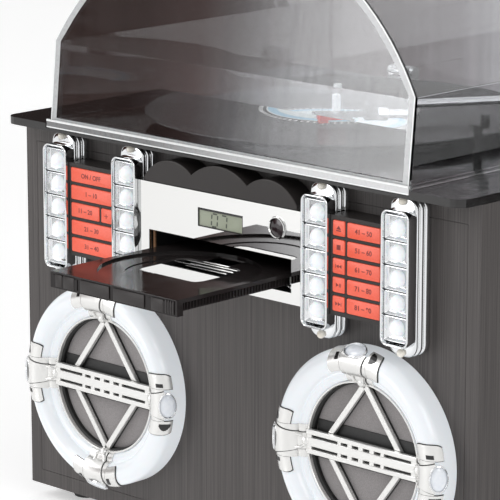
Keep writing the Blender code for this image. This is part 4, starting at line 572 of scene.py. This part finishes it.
# The apron's frost is real. Its base colour runs from dark grey at the left to white at the right: a painted
# reflection of the bright room on the right.
apron_frost_and_reflection = finish("apron frost with painted reflection", (0.5, 0.5, 0.5), 0.3, Alpha=0.66)
tree = apron_frost_and_reflection.node_tree
ramp, _ = gradient(tree, 0.38, ((0.30, (0.26, 0.26, 0.2626)), (0.70, (0.95, 0.95, 0.9595))))
wire(tree, (ramp, "Color", tree.nodes["Principled BSDF"], "Base Color"))
mottle(apron_frost_and_reflection, 420, rough=(0.22, 0.38))
shell("lid_apron_frost", apron_form, apron_frost_and_reflection, "lid_body")
for name, z, radius in (("upper", 0.3207, 0.0009), ("lower", 0.3156, 0.0007)):
    line = [Vector((x, -0.1164, z)) for x in (-0.1866, 0.1866)]
    highlight_form = bar(bmesh.new(), line, radius)
    shell(f"lid_apron_{name}_edge", highlight_form, highlight_acrylic, "lid_body")


# Bulb strips: vacuum-plated plastic, each a long trough with five dished cells in front of a
# three-ribbed plinth, held by a cream bead above and below. A frosted globe stands in every cell.
FRONT = -0.1197
LIGHTS_Z = 0.2535
STRIPS = (-0.17615, -0.0991, 0.0991, 0.17615)
BULB_PITCH = 0.01815


def outline(half_x, half_z, radius):
    """Points of an upright rectangle with round corners, as (x, z)."""
    radius = max(radius, 0.0002)
    points = []
    for sx, sz, start in ((1, 1, 0), (-1, 1, 90), (-1, -1, 180), (1, -1, 270)):
        for step in range(7):
            angle = radians(start + 15 * step)
            x = sx * (half_x - radius) + radius * cos(angle)
            points.append((x, sz * (half_z - radius) + radius * sin(angle)))
    return points


def stack(form, middle, half_x, half_z, radius, profile, closed=True):
    """Round-cornered loops, each joined to the next. The profile gives each loop's inset, and how
    far behind the front it lies."""
    loops = []
    for inset, behind in profile:
        loop = outline(half_x - inset, half_z - inset, radius - inset)
        loops.append([form.verts.new((middle[0] + x, FRONT + behind, middle[1] + z)) for x, z in loop])
    skin(form, loops)
    if closed:
        form.faces.new(loops[0])
        form.faces.new(loops[-1])


def lump(form, centre, radii, around=20, up=12):
    """An ellipsoid."""
    place = Matrix.Translation(centre) @ Matrix.Diagonal((*radii, 1))
    bmesh.ops.create_uvsphere(form, u_segments=around, v_segments=up, radius=1, matrix=place)
    return form


frosted = finish(
    "frosted globe", (0.90, 0.93, 0.96), 0.25, Subsurface_Weight=0.2, Subsurface_Scale=0.003,
    Emission_Color=(0.90, 0.95, 1.0, 1), Emission_Strength=0.10,
)
mottle(frosted, 500, rough=(0.18, 0.32), bump=0.00002)
bead = finish("cream bead", (0.90, 0.85, 0.75), 0.1, Coat_Weight=0.5)
mottle(bead, 250, (0.85, 0.79, 0.68), (0.95, 0.91, 0.83))
cell_chrome = finish("satin plate", (0.70, 0.71, 0.72), 0.22, 1.0)
mottle(cell_chrome, 160, rough=(0.16, 0.30), bump=0.00003)
trough_profile = [
    (0.0004, 0.0100), (0.0, 0.0096), (0.0, 0.0010), (0.0003, 0.0003), (0.0009, 0.0), (0.0014, 0.0003),
    (0.0017, 0.0010), (0.0019, 0.0078), (0.0024, 0.0080),
]
plinth_profile = [
    (0.0004, 0.0247), (0.0, 0.0242), (0.0, 0.0206), (0.0004, 0.0201), (0.0016, 0.0198),
    (0.0022, 0.0192), (0.0022, 0.0186), (0.0016, 0.0180), (0.0004, 0.0177), (0.0, 0.0172),
    (0.0, 0.0156), (0.0004, 0.0151), (0.0016, 0.0148), (0.0022, 0.0142), (0.0022, 0.0136),
    (0.0016, 0.0130), (0.0006, 0.0127), (0.0002, 0.0122), (0.0002, 0.0110), (0.0008, 0.0103),
    (0.0018, 0.0099), (0.0034, 0.0097),
]
cell_profile = [
    (0.0, 0.0058), (0.0, 0.0030), (0.0003, 0.0024), (0.0007, 0.0023), (0.0011, 0.0027),
    (0.0017, 0.0046), (0.0024, 0.0052),
]
STRIP_HALF, TROUGH_TALL, PLINTH_TALL = 0.0130, 0.0495, 0.0580
CELL_HALF = BULB_PITCH / 2 - 0.0003
END_CELL_SPARE = 0.0005
GLOBE_RADIUS, GLOBE_BEHIND = 0.0066, 0.0062
BEAD_RADIUS, BEAD_BEHIND, BEAD_UP = 0.0031, 0.0090, 0.0552
for number, x in enumerate(STRIPS, 1):
    form = bmesh.new()
    stack(form, (x, LIGHTS_Z), STRIP_HALF, TROUGH_TALL, 0.0060, trough_profile)
    stack(form, (x, LIGHTS_Z), STRIP_HALF, PLINTH_TALL, 0.0090, plinth_profile)
    strip = shell(f"strip_{number}", form, chrome, "case", 50)
    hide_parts(f"pilaster_{number}")
    cells, bulbs, beads = bmesh.new(), bmesh.new(), bmesh.new()
    for step in (-2, -1, 0, 1, 2):
        z = LIGHTS_Z + step * BULB_PITCH
        spare = END_CELL_SPARE if abs(step) == 2 else 0.0
        stack(cells, (x, z + spare * step / 2), 0.0109, CELL_HALF + spare, 0.0016, cell_profile)
        lump(bulbs, (x, FRONT + GLOBE_BEHIND, z), (GLOBE_RADIUS,) * 3, 32, 20)
    for side in (-1, 1):
        lump(beads, (x, FRONT + BEAD_BEHIND, LIGHTS_Z + side * BEAD_UP), (BEAD_RADIUS,) * 3)
    shell(f"cells_{number}", cells, cell_chrome, "case", 50)
    globes = shell(f"globes_{number}", bulbs, frosted, "case", 80)
    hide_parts(f"bulb_bar_{number}")
    shell(f"beads_{number}", beads, bead, "case", 80)


# Fascia: a mirror-plated moulding with a window for the display, a round rim for the infrared eye
# and the slot that the disc tray slides through. The display shows two plain digits.
mirror = mottle(finish("mirror plate", (0.66, 0.66, 0.65), 0.02, 1.0), 25, rough=(0.008, 0.03))
dress(mirror, "fascia")
lcd = finish("display glass", (0.33, 0.36, 0.27), 0.12)
mottle(lcd, (40, 40, 25), (0.31, 0.34, 0.25), (0.36, 0.39, 0.30))
dress(lcd, "display_lens")
eye_plastic = finish("eye plastic", (0.020, 0.012, 0.014), 0.08)
mottle(eye_plastic, 90, (0.018, 0.011, 0.013), (0.026, 0.015, 0.017))
dress(eye_plastic, "ir_lens")
segment_ink = finish("display segments", (0.055, 0.062, 0.045), 0.3)
mottle(segment_ink, 900, (0.05, 0.057, 0.04), (0.06, 0.067, 0.05))
# A thin gloss black bezel lines the display window. The wider black bar along its top is painted shadow of
# the window's upper edge on the recessed glass.
frame_and_top_shade = bmesh.new()
frame_profile = [(0.0, 0.0052), (0.0, 0.0041), (0.0002, 0.0039), (0.0008, 0.0041), (0.0009, 0.0052)]
stack(frame_and_top_shade, (0.0016, LIGHTS_Z + 0.0150), 0.02335, 0.0072, 0.0006, frame_profile, False)
top_shade_low = (-0.0208, FRONT + 0.0040, LIGHTS_Z + 0.0205)
top_shade_high = (0.0240, FRONT + 0.0047, LIGHTS_Z + 0.0220)
brick(frame_and_top_shade, top_shade_low, top_shade_high, 0.0002, 1)
shell("display_frame_top_shade", frame_and_top_shade, gloss, "case")
GLASS_Y = FRONT + 0.0048
DIGIT_Z = LIGHTS_Z + 0.0142
DIGIT_LEAN = 0.08
STROKE = 0.0006  # half the width of a segment


def digit(form, lit, middle):
    """A seven-segment digit; lit names the segments that are dark."""
    w, h = 0.0030, 0.0049  # half of its width and height
    ends = {
        "a": ((-w, h), (w, h)), "b": ((w, 0), (w, h)), "c": ((w, -h), (w, 0)),
        "d": ((-w, -h), (w, -h)), "e": ((-w, -h), (-w, 0)), "f": ((-w, 0), (-w, h)),
    }
    for segment in lit:
        (x0, z0), (x1, z1) = ends[segment]
        length = hypot(x1 - x0, z1 - z0)
        u, v = (x1 - x0) / length, (z1 - z0) / length
        s, near, far = STROKE, 2 * STROKE, length - 2 * STROKE
        corners = []
        for along, across in ((s, 0), (near, s), (far, s), (length - s, 0), (far, -s), (near, -s)):
            x, z = x0 + u * along - v * across, z0 + v * along + u * across
            corners.append((middle + x + z * DIGIT_LEAN, DIGIT_Z + z))
        front, rear = ([(x, GLASS_Y - lift, z) for x, z in corners] for lift in (0.00008, 0.00002))
        prism(form, front, rear)


digits_form = bmesh.new()
digit(digits_form, "abcdef", -0.0050)
digit(digits_form, "abc", 0.0046)
shell("display_digits", digits_form, segment_ink, "case")


# Crest: a satin black moulding of three scallops that stands on the fascia's top edge, with the
# front of its upper edge softened by a fraction of a millimetre.
satin = finish("satin black", (0.030, 0.026, 0.025), 0.40, Specular_IOR_Level=0.25)
mottle(satin, 1400, bump=0.00003, rough=(0.32, 0.44))
CREST_HALF = 0.0795
CREST_FOOT = 0.0345
SIDE_SCALLOP = ((0.0505, 0.0188), 0.0345)
MIDDLE_SCALLOP = ((0, 0.0104), 0.0455)


def crossing(first, first_radius, second, second_radius):
    """The angles, seen from each centre, of the upper point where two circles cross."""
    across, up = second[0] - first[0], second[1] - first[1]
    apart = hypot(across, up)
    along = (apart**2 + first_radius**2 - second_radius**2) / (2 * apart)
    angle = atan2(up, across) + acos(along / first_radius)
    x, y = first[0] + first_radius * cos(angle), first[1] + first_radius * sin(angle)
    return angle, atan2(y - second[1], x - second[0])


def arc_points(centre, radius, start, end, steps):
    """Points along an arc, its angles in radians."""
    angles = [start + (end - start) * step / steps for step in range(steps + 1)]
    return [(centre[0] + radius * cos(a), centre[1] + radius * sin(a)) for a in angles]


def crest_outline(inset):
    """The scallops from right to left, then back along the foot under the same points."""
    side, side_radius = SIDE_SCALLOP[0], SIDE_SCALLOP[1] - inset
    mid, mid_radius = MIDDLE_SCALLOP[0], MIDDLE_SCALLOP[1] - inset
    start = acos((CREST_HALF - inset - side[0]) / side_radius)
    mid_notch, side_notch = crossing(mid, mid_radius, side, side_radius)
    right = arc_points(side, side_radius, start, side_notch, 24)
    middle = arc_points(mid, mid_radius, mid_notch, pi - mid_notch, 24)[1:-1]
    upper = right + middle + [(-u, v) for u, v in reversed(right)]
    return upper + [(u, CREST_FOOT + inset) for u, v in reversed(upper)]


crest_form = bmesh.new()
loops = []
for inset, behind in ((0.0, 0.0247), (0.0, 0.0049), (0.0002, 0.0043), (0.0007, 0.0040)):
    points = [(u, FRONT + behind, LIGHTS_Z + v) for u, v in crest_outline(inset)]
    loops.append([crest_form.verts.new(point) for point in points])
skin(crest_form, loops)
for loop in (loops[0], loops[-1]):
    for step in range(len(loop) // 2 - 1):
        crest_form.faces.new((loop[step], loop[step + 1], loop[-step - 2], loop[-step - 1]))
crest = shell("scallops", crest_form, satin, "case", 12)
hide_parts("crest")


# Key panels: black housings between the bulb strips, with coral keys that stand just proud of
# their windows. Small keys carry a symbol and wide ones plain figures, printed in dark red.
dress(satin, "key_bezel_left", "key_bezel_right")
coral = finish("coral key plastic", (0.89, 0.115, 0.058), 0.36)
mottle(coral, 700, (0.87, 0.108, 0.053), (0.91, 0.122, 0.063), bump=0.00002)
key_ink = finish("key print", (0.20, 0.014, 0.010), 0.5)
mottle(key_ink, 900, (0.18, 0.012, 0.009), (0.23, 0.017, 0.012))
KEY_DEPTH = 0.0034
KEY_FRONT = FRONT + KEY_DEPTH
KEY_PITCH = 0.0139
KEY_HALF = 0.00595
KEY_PLAY = 0.0003
KEY_RIM = 0.0007
KEY_INNER, SMALL_END, WIDE_START, KEY_OUTER = 0.1148, 0.1270, 0.1286, 0.1606
SMALL_MIDDLE = (KEY_INNER + SMALL_END) / 2
KEYS_LEFT = ("power", "lights", "source", "volume_up", "volume_down")
KEYS_RIGHT = ("eject", "stop", "previous", "play", "next")
NUMBERED = KEYS_LEFT[1:] + KEYS_RIGHT
FIGURES = {name: f"{10 * tens + 1} – {10 * tens + 10}" for tens, name in enumerate(NUMBERED)}
FIGURES["power"] = "ON / OFF"


def oblong(left, low, right, high):
    """The corners of a rectangle."""
    return [(left, low), (right, low), (right, high), (left, high)]


SYMBOLS = {
    "eject": [[(-1, -0.35), (1, -0.35), (0, 0.9)], oblong(-1, -0.95, 1, -0.6)],
    "stop": [oblong(-0.8, -0.8, 0.8, 0.8)],
    "play": [
        [(-1.0, -0.6), (0.1, 0), (-1.0, 0.6)], oblong(0.35, -0.6, 0.6, 0.6), oblong(0.85, -0.6, 1.1, 0.6),
    ],
    "next": [
        oblong(1.05, -0.6, 1.3, 0.6), [(-0.1, 0.6), (-0.1, -0.6), (1.0, 0)],
        [(-1.25, 0.6), (-1.25, -0.6), (-0.15, 0)],
    ],
    "repeat": [
        oblong(-0.9, -0.15, 0.9, 0.15), oblong(-0.15, 0.15, 0.15, 0.9), oblong(-0.15, -0.9, 0.15, -0.15),
    ],
}
SYMBOLS["previous"] = [[(-u, -v) for u, v in points] for points in SYMBOLS["next"]]


def printed(name, centre_x, centre_z, size):
    """A key's symbol: flat ink shapes a few hundredths of a millimetre in front of it."""
    form = bmesh.new()
    for points in SYMBOLS[name]:
        places = [(centre_x + u * size, centre_z + v * size) for u, v in points]
        front, rear = ([(x, KEY_FRONT + y, z) for x, z in places] for y in (-0.00006, 0.00004))
        prism(form, front, rear)
    shell(f"key_{name}_symbol", form, key_ink, f"{name}_key")


def figures(name, centre_x, centre_z):
    """A key's plain figures, made into a thin mesh."""
    curve = bpy.data.curves.new(f"key_{name}_figures", "FONT")
    curve.body = FIGURES[name]
    curve.size = 0.0050
    curve.space_character = 1.05
    curve.offset = 0.00013
    curve.align_x = "CENTER"
    curve.align_y = "CENTER"
    curve.extrude = 0.00005
    guide = bpy.data.objects.new(f"key_{name}_guide", curve)
    link(guide)
    bpy.context.view_layer.update()
    mesh = bpy.data.meshes.new_from_object(guide.evaluated_get(bpy.context.evaluated_depsgraph_get()))
    bpy.data.objects.remove(guide)
    upright = Matrix.Rotation(pi / 2, 4, "X")
    mesh.transform(Matrix.Translation((centre_x, KEY_FRONT - 0.00002, centre_z)) @ upright)
    mesh.materials.clear()
    mesh.materials.append(key_ink)
    piece = bpy.data.objects.new(f"key_{name}_figures", mesh)
    link(piece)
    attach(piece, f"{name}_key")


def key(name, cells, middle):
    """One key: a pad with a soft front edge in each cell, on a wider base behind the panel."""
    form = bmesh.new()
    profile = [
        (0.0, KEY_DEPTH + 0.0045), (0.0, KEY_DEPTH + 0.0006), (0.00018, KEY_DEPTH + 0.00018),
        (0.0006, KEY_DEPTH),
    ]
    for left, right in cells:
        centre = ((left + right) / 2, middle)
        stack(form, centre, (right - left) / 2 - KEY_PLAY, KEY_HALF - KEY_PLAY, 0.0011, profile)
    base_low = (cells[0][0] - KEY_RIM, FRONT + 0.0068, middle - KEY_HALF - KEY_RIM)
    base_high = (cells[-1][1] + KEY_RIM, FRONT + 0.0086, middle + KEY_HALF + KEY_RIM)
    brick(form, base_low, base_high, 0.0002, 1)
    pad = shell(f"{name}_pad", form, coral, f"{name}_key", 40)
    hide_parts(f"key_{name}")


for row in range(5):
    middle = LIGHTS_Z + (2 - row) * KEY_PITCH
    name = KEYS_LEFT[row]
    inner = -WIDE_START if name == "source" else -KEY_INNER
    key(name, [(-KEY_OUTER, inner)], middle)
    figures(name, (inner - KEY_OUTER) / 2, middle)
    if name == "source":
        key("repeat", [(-SMALL_END, -KEY_INNER)], middle)
        printed("repeat", -SMALL_MIDDLE, middle, 0.0020)
    name = KEYS_RIGHT[row]
    key(name, [(KEY_INNER, SMALL_END), (WIDE_START, KEY_OUTER)], middle)
    printed(name, SMALL_MIDDLE, middle, 0.0023)
    figures(name, (WIDE_START + KEY_OUTER) / 2, middle)


# Disc drive: a gloss-black moulded tray with a recess for a disc, an open hub, panels and ribs on
# its lip and a toothed rack, over a white gear in a black frame. Bright guide rods and a latch with
# two wheels show through its opening, and a brown board stands beside it.
tray_black = finish("tray black", (0.018, 0.015, 0.015), 0.12, Specular_IOR_Level=0.2)
mottle(tray_black, 60, rough=(0.09, 0.17))
dress(tray_black, "cd_tray")
lip_black = finish("lip black", (0.030, 0.026, 0.026), 0.4, Specular_IOR_Level=0.25)
mottle(lip_black, 900, (0.026, 0.022, 0.022), (0.036, 0.032, 0.031), rough=(0.34, 0.46), bump=0.00002)
LIP_NEAR, LIP_FAR, LIP_LOW = -0.2256, -0.2250, 0.2272
PANEL_TOP, RIB_TOP, RIB_WIDTH = 0.2366, 0.2372, 0.0012
form = bmesh.new()
for left, right in (
    (-0.0600, -0.0530), (-0.0515, -0.0400), (-0.0336, -0.0030), (0.0012, 0.0332), (0.0403, 0.0525),
):
    brick(form, (left, LIP_NEAR, LIP_LOW), (right, LIP_FAR, PANEL_TOP), 0.0003)
for left in (0.0548, 0.0572, 0.0596, 0.0620):
    brick(form, (left, LIP_NEAR, LIP_LOW), (left + RIB_WIDTH, LIP_FAR, RIB_TOP), 0.0003)
brick(form, (-0.0655, -0.2254, 0.2376), (0.0655, -0.2246, 0.2382), 0.0002)
shell("tray_lip_panels", form, lip_black, "tray_body")
bright_plate = finish("bright plate", (0.76, 0.755, 0.74), 0.24, 0.6)
mottle(bright_plate, 30, rough=(0.22, 0.26))
nylon = finish("gear nylon", (0.62, 0.61, 0.58), 0.35)
mottle(nylon, 300, (0.58, 0.57, 0.54), (0.66, 0.65, 0.62))
dress(nylon, "tray_gear")
dress(back_plastic, "loader_chassis")
form = bmesh.new()
for left, right, y, z, radius in (
    (-0.0410, 0.0020, -0.1090, 0.2267, 0.0006), (-0.0360, 0.0090, -0.1090, 0.2290, 0.0007),
    (-0.0310, 0.0130, -0.1090, 0.2311, 0.0005), (-0.0280, 0.0165, -0.1090, 0.2328, 0.0006),
    (-0.0560, -0.0300, -0.1080, 0.2280, 0.0004), (-0.0500, -0.0300, -0.1080, 0.2308, 0.0004),
    (-0.0120, 0.0340, -0.0965, 0.2276, 0.0006),
):
    bar(form, [Vector((left, y, z)), Vector((right, y, z))], radius, 12)
shell("guide_rods", form, bright_plate, "case")
LATCH_Y = -0.1112
form = bmesh.new()
bar(form, [Vector((0.0710, LATCH_Y, 0.2262)), Vector((0.0710, LATCH_Y, 0.2338))], 0.0009, 16)
lever = ((0.0670, -0.1122, 0.2296), (0.0702, -0.1126, 0.2284), (0.0737, -0.1116, 0.2274))
bar(form, [Vector(point) for point in lever], 0.0005, 12)
for height, radius in ((0.2288, 0.0022), (0.2316, 0.0017)):
    wheel = [(0.0008, 0.0004), (radius, 0.0004), (radius - 0.0005, 0), (radius, -0.0004), (0.0008, -0.0004)]
    lathe(form, wheel, 32, Matrix.Translation((0.0700, LATCH_Y, height)), True)
shell("loader_latch", form, chrome, "case")
board_brown = finish("board brown", (0.24, 0.12, 0.055), 0.5)
mottle(board_brown, (300, 300, 900), (0.19, 0.09, 0.04), (0.30, 0.16, 0.08))
form = brick(bmesh.new(), (-0.0737, -0.1120, 0.2262), (-0.0716, -0.1104, 0.2502), 0.0002, 1)
shell("loader_board", form, board_brown, "case")


# Ring lights: milk-white moulded rings in two steps, a small one inside a large one, that glow
# evenly. Each is screwed to the front board through its foot, under the saddles of the grille.
milk = finish(
    "milk white ring", (0.55, 0.57, 0.59), 0.14, Subsurface_Weight=0.15, Subsurface_Scale=0.005,
    Emission_Color=(0.92, 0.96, 1.0, 1), Emission_Strength=0.38,
)
mottle(milk, 60, rough=(0.10, 0.20), bump=0.00002)
STEP = ((0.0600, 0.0095), 0.0050)
TUBE = ((0.0705, 0.0130), 0.0095)
RING_PLACES = {
    side: Matrix.Translation((x, -0.0947, 0.114)) @ Matrix.Rotation(pi / 2, 4, "X")
    for side, x in (("left", -0.1363), ("right", 0.1363))
}


def ring_section(offset, step_steps=14, tube_steps=22):
    """The ring's section as (radius, height), grown by an offset, from its inner side outwards."""
    leave, join_on = crossing(STEP[0], STEP[1] + offset, TUBE[0], TUBE[1] + offset)
    step = arc_points(STEP[0], STEP[1] + offset, pi, leave, step_steps)
    return step + arc_points(TUBE[0], TUBE[1] + offset, join_on, 0, tube_steps)[1:]


for side, place in RING_PLACES.items():
    profile = [(0.0550, 0.0003)] + ring_section(0.0) + [(0.0800, 0.0003)]
    ring = shell(f"ring_{side}", lathe(bmesh.new(), profile, 160, place, True), milk, "case", 50)
    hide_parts(f"light_ring_{side}")


# Ring grilles: one plated moulding in front of each speaker, with a turned trim ring, a rhombus, a
# band of three rails and four saddles over the ring light, each with a pearl lens in a milled rim.
# Black sheets just behind the saddles, the rhombus bars, the band and the trim's inner wall show as
# dark outlines and a dark wall: painted shade.
pearl = finish("pearl lens", (0.84, 0.88, 0.94), 0.08, Coat_Weight=0.6)
mottle(pearl, 220, (0.79, 0.83, 0.90), (0.90, 0.93, 0.97), rough=(0.05, 0.12))
# Black for sheets set just behind plated parts, where they show as dark outlines and dark walls: painted
# shade.
shadow_black = finish("painted shade black", (0.010, 0.010, 0.010), 0.6)
mottle(shadow_black, 700, (0.008, 0.008, 0.008), (0.013, 0.013, 0.013))
SHEET_STEPS = 8


def over_ring(form, place, middle, outer, inner, widths):
    """A closed sheet over the ring, between an outer and an inner line of (radius, height) points.
    For each point, widths says where the sheet starts and ends along the ring."""
    borders = []
    for section in (outer, inner):
        grid = []
        for (radius, height), (low, high) in zip(section, widths):
            across = [low + (high - low) * step / SHEET_STEPS for step in range(SHEET_STEPS + 1)]
            angles = [middle - asin(part / radius) for part in across]
            points = [place @ Vector((radius * cos(a), radius * sin(a), height)) for a in angles]
            grid.append([form.verts.new(point) for point in points])
        for upper, lower in zip(grid, grid[1:]):
            for step in range(SHEET_STEPS):
                form.faces.new((upper[step], upper[step + 1], lower[step + 1], lower[step]))
        back = [line[-1] for line in reversed(grid[:-1])]
        borders.append([line[0] for line in grid] + grid[-1][1:] + back + grid[0][-2:0:-1])
    skin(form, borders)


def tube_arc(offset, start, end, steps):
    """Part of the outer step's section, grown by an offset, between two angles in degrees."""
    return arc_points(TUBE[0], TUBE[1] + offset, radians(start), radians(end), steps)


def saddle_section(offset):
    """The part of the ring's section that a saddle covers, grown by an offset."""
    return ring_section(offset, 8, 14)[:-4]


OUTWARD = Vector((0, 0, 1))
BAND_END, BAND_FOOT = 0.0537, 0.0105
SADDLE_HALF, SADDLE_FOOT = 0.0125, 0.0062
RHOMBUS_UP, RHOMBUS_ACROSS, RHOMBUS_LEVEL = 0.0525, 0.0395, 0.00845
KNURLS = 40
LENS_TILT = radians(36)
LENS_DOME = [(0, 0.0013), (0.35, 0.00125), (0.62, 0.0010), (0.84, 0.0006), (1.0, -0.0006), (0, -0.0006)]
LENS_HOOP = [(1.0, -0.0010), (1.0, 0.0004), (1.06, 0.0008), (1.13, 0.0005), (1.15, -0.0010)]
HOOK = (
    (0.0536, 0.0024, 0.0120), (0.0560, 0.0044, 0.0165), (0.0600, 0.0052, 0.0178), (0.0640, 0.0050, 0.0172),
)
body_outer, body_inner = (
    [(section[0][0], SADDLE_FOOT)] + section
    for section in (saddle_section(0.0013), saddle_section(0.0003))
)
body_widths = [(-SADDLE_HALF, SADDLE_HALF)] * len(body_outer)
stem_outer, stem_inner = saddle_section(0.0023), saddle_section(0.0012)
rows = len(stem_outer)
flare = [0.0062 + 0.0050 * max(0.0, (row - 6) / (rows - 7)) ** 1.5 for row in range(rows)]
insert_widths = [(0.0150, 0.0150 + 0.0055 * (1 - ((row - 5) / 6) ** 2)) for row in range(11)]
for side, place in RING_PLACES.items():
    form, shade_backing, gap_shade, inserts, lenses, rims = (bmesh.new() for _ in range(6))
    # A black ring round the trim's inner wall, and black strips behind the rhombus bars and the band:
    # painted shade on the wall and along the bars' sides.
    lathe(shade_backing, [(0.0516, 0.0046), (0.0516, 0.0078), (0.0529, 0.0092), (0.0529, 0.0046)], 128, place, True)
    trim = [
        (0.0530, -0.0045), (0.0530, 0.0120), (0.0534, 0.0125), (0.0541, 0.0125), (0.0545, 0.0120),
        (0.0545, -0.0045),
    ]
    lathe(form, trim, 144, place, True)
    for sx, sz in ((1, 1), (-1, 1), (-1, -1), (1, -1)):
        top = Vector((0, sz * RHOMBUS_UP, RHOMBUS_LEVEL))
        end = Vector((sx * RHOMBUS_ACROSS, 0, RHOMBUS_LEVEL))
        half = (end - top).length / 2
        along = (end - top).normalized()
        turn = Matrix((along, OUTWARD.cross(along), OUTWARD)).transposed().to_4x4()
        lie = place @ Matrix.Translation((top + end) / 2) @ turn
        brick(form, (-half, -0.0023, -0.00175), (half, 0.0023, 0.00175), 0.0004, 1, lie)
        brick(shade_backing, (-half, -0.0024, -0.0033), (half, 0.0024, -0.0018), 0.0002, 1, lie)
    for low, high in ((-0.0092, -0.0055), (-0.0033, 0.0033), (0.0055, 0.0092)):
        brick(form, (-BAND_END, low, BAND_FOOT), (BAND_END, high, 0.0140), 0.0004, 1, place)
    for start, end in (
        (-BAND_END, -0.0484), (-0.0226, -0.0193), (-0.0129, -0.0086), (-0.0022, 0.0022),
        (0.0086, 0.0129), (0.0193, 0.0226), (0.0484, BAND_END),
    ):
        for low, high in ((-0.0060, -0.0030), (0.0030, 0.0060)):
            brick(form, (start, low, BAND_FOOT), (end, high, 0.0137), 0.0002, 1, place)
    for middle in (0, pi / 2, pi, 3 * pi / 2):
        over_ring(form, place, middle, body_outer, body_inner, body_widths)
        over_ring(form, place, middle, stem_outer, stem_inner, [(-w, w) for w in flare])
        gaps = [(-w - 0.0006, w + 0.0006) for w in flare]
        # A black sheet a little wider than each saddle and its shoulders shows as a dark outline round them:
        # painted shade in the gaps.
        over_ring(gap_shade, place, middle, saddle_section(0.0015), stem_inner, gaps)
        for turn in (-1, 1):
            for target, start, end, grow, proud in (
                (form, 0.0128, 0.0240, 0, 0.0013), (gap_shade, 0.0122, 0.0246, 4, 0.0006),
            ):
                outer, inner = (tube_arc(offset, 128 + grow, 8 - grow, 12) for offset in (proud, 0.0002))
                ends = [end - 0.0022 * abs(row / 6 - 1) ** 4 for row in range(13)]
                over_ring(target, place, middle, outer, inner, [(start * turn, far * turn) for far in ends])
        outer, inner = tube_arc(0.0017, 66, 18, 10), tube_arc(0.0008, 66, 18, 10)
        over_ring(inserts, place, middle, outer, inner, insert_widths)
        outer, inner = tube_arc(0.0017, 78, 48, 8), tube_arc(0.0008, 78, 48, 8)
        over_ring(inserts, place, middle, outer, inner, [(-0.0170, -0.0142)] * 9)
        radial = Vector((cos(middle), sin(middle), 0))
        tangent = Vector((-sin(middle), cos(middle), 0))
        normal = radial * cos(LENS_TILT) + OUTWARD * sin(LENS_TILT)
        across = OUTWARD * cos(LENS_TILT) - radial * sin(LENS_TILT)
        centre = radial * TUBE[0][0] + OUTWARD * TUBE[0][1] + normal * 0.0116
        axes = Matrix((tangent, across, normal)).transposed().to_4x4()
        oval = place @ Matrix.Translation(centre) @ axes @ Matrix.Diagonal((0.0090, 0.0060, 1, 1))
        lathe(lenses, LENS_DOME, 48, oval)
        lathe(rims, LENS_HOOP, 64, oval, True)
        for knurl in range(KNURLS):
            angle = 2 * pi * knurl / KNURLS
            spot = oval @ Vector((1.15 * cos(angle), 1.15 * sin(angle), -0.0001))
            lump(rims, spot, (0.00036,) * 3, 8, 6)
        lump(form, place @ (radial * 0.0548 + OUTWARD * 0.0125), (0.0040, 0.0034, 0.0040), 24, 16)
        for turn in (-1, 1):
            hook = [place @ (radial * r + tangent * turn * t + OUTWARD * h) for r, t, h in HOOK]
            bar(form, hook, 0.0011, 20)
    grille = shell(f"grille_{side}", form, bright_plate, "case", 24)
    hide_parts(f"ring_grille_{side}")
    shell(f"saddle_gap_shade_{side}", gap_shade, shadow_black, "case", 40)
    shell(f"saddle_inserts_{side}", inserts, gloss, "case", 40)
    shell(f"saddle_lenses_{side}", lenses, pearl, "case", 50)
    shell(f"saddle_rims_{side}", rims, chrome, "case", 50)
    brick(shade_backing, (-0.0514, -0.0094, 0.0098), (0.0514, 0.0094, 0.0104), 0.0001, 1, place)
    shell(f"grille_shade_backing_{side}", shade_backing, shadow_black, "case", 40)


# Speakers: cones behind the front board's openings. A grey cloth stretched over a disc lies close
# behind each grille. A black bar on the cloth behind the band is partly a crossbar, and the part of
# it that shows above the band is painted shadow of the band.
cloth = finish("speaker cloth", (0.30, 0.28, 0.28), 0.95)
mottle(cloth, 1800, (0.26, 0.245, 0.245), (0.34, 0.32, 0.32), bump=0.0001)
dress(cloth, "speaker_cloth_left", "speaker_cloth_right")
dress(steel, "speaker_left", "speaker_right")
for side, place in RING_PLACES.items():
    # The black bar reaches higher above the band than below it: its upper part is painted shadow of the band
    # on the cloth.
    form = brick(bmesh.new(), (-0.0490, -0.0130, 0.0046), (0.0490, 0.0165, 0.0060), 0.0003, 2, place)
    shell(f"crossbar_band_shadow_{side}", form, shadow_black, "case")
    sheet = [
        (0, 0.0050), (0.0490, 0.0050), (0.0515, 0.0047), (0.0527, 0.0040), (0.0528, 0.0032), (0, 0.0032),
    ]
    cover = lathe(bmesh.new(), sheet, 96, place)
    shell(f"stretched_cloth_{side}", cover, cloth, "case", 50)


# Inside: a green main board with its heat sink, and the transformer, screwed to the cabinet floor.
circuit_green = finish("circuit green", (0.02, 0.12, 0.05), 0.45)
mottle(circuit_green, 250, (0.015, 0.10, 0.04), (0.03, 0.14, 0.06))
dress(circuit_green, "main_board")
core_steel = finish("core steel", (0.35, 0.34, 0.33), 0.5, 1.0)
mottle(core_steel, (50, 50, 2000), rough=(0.4, 0.6))
dress(core_steel, "transformer")
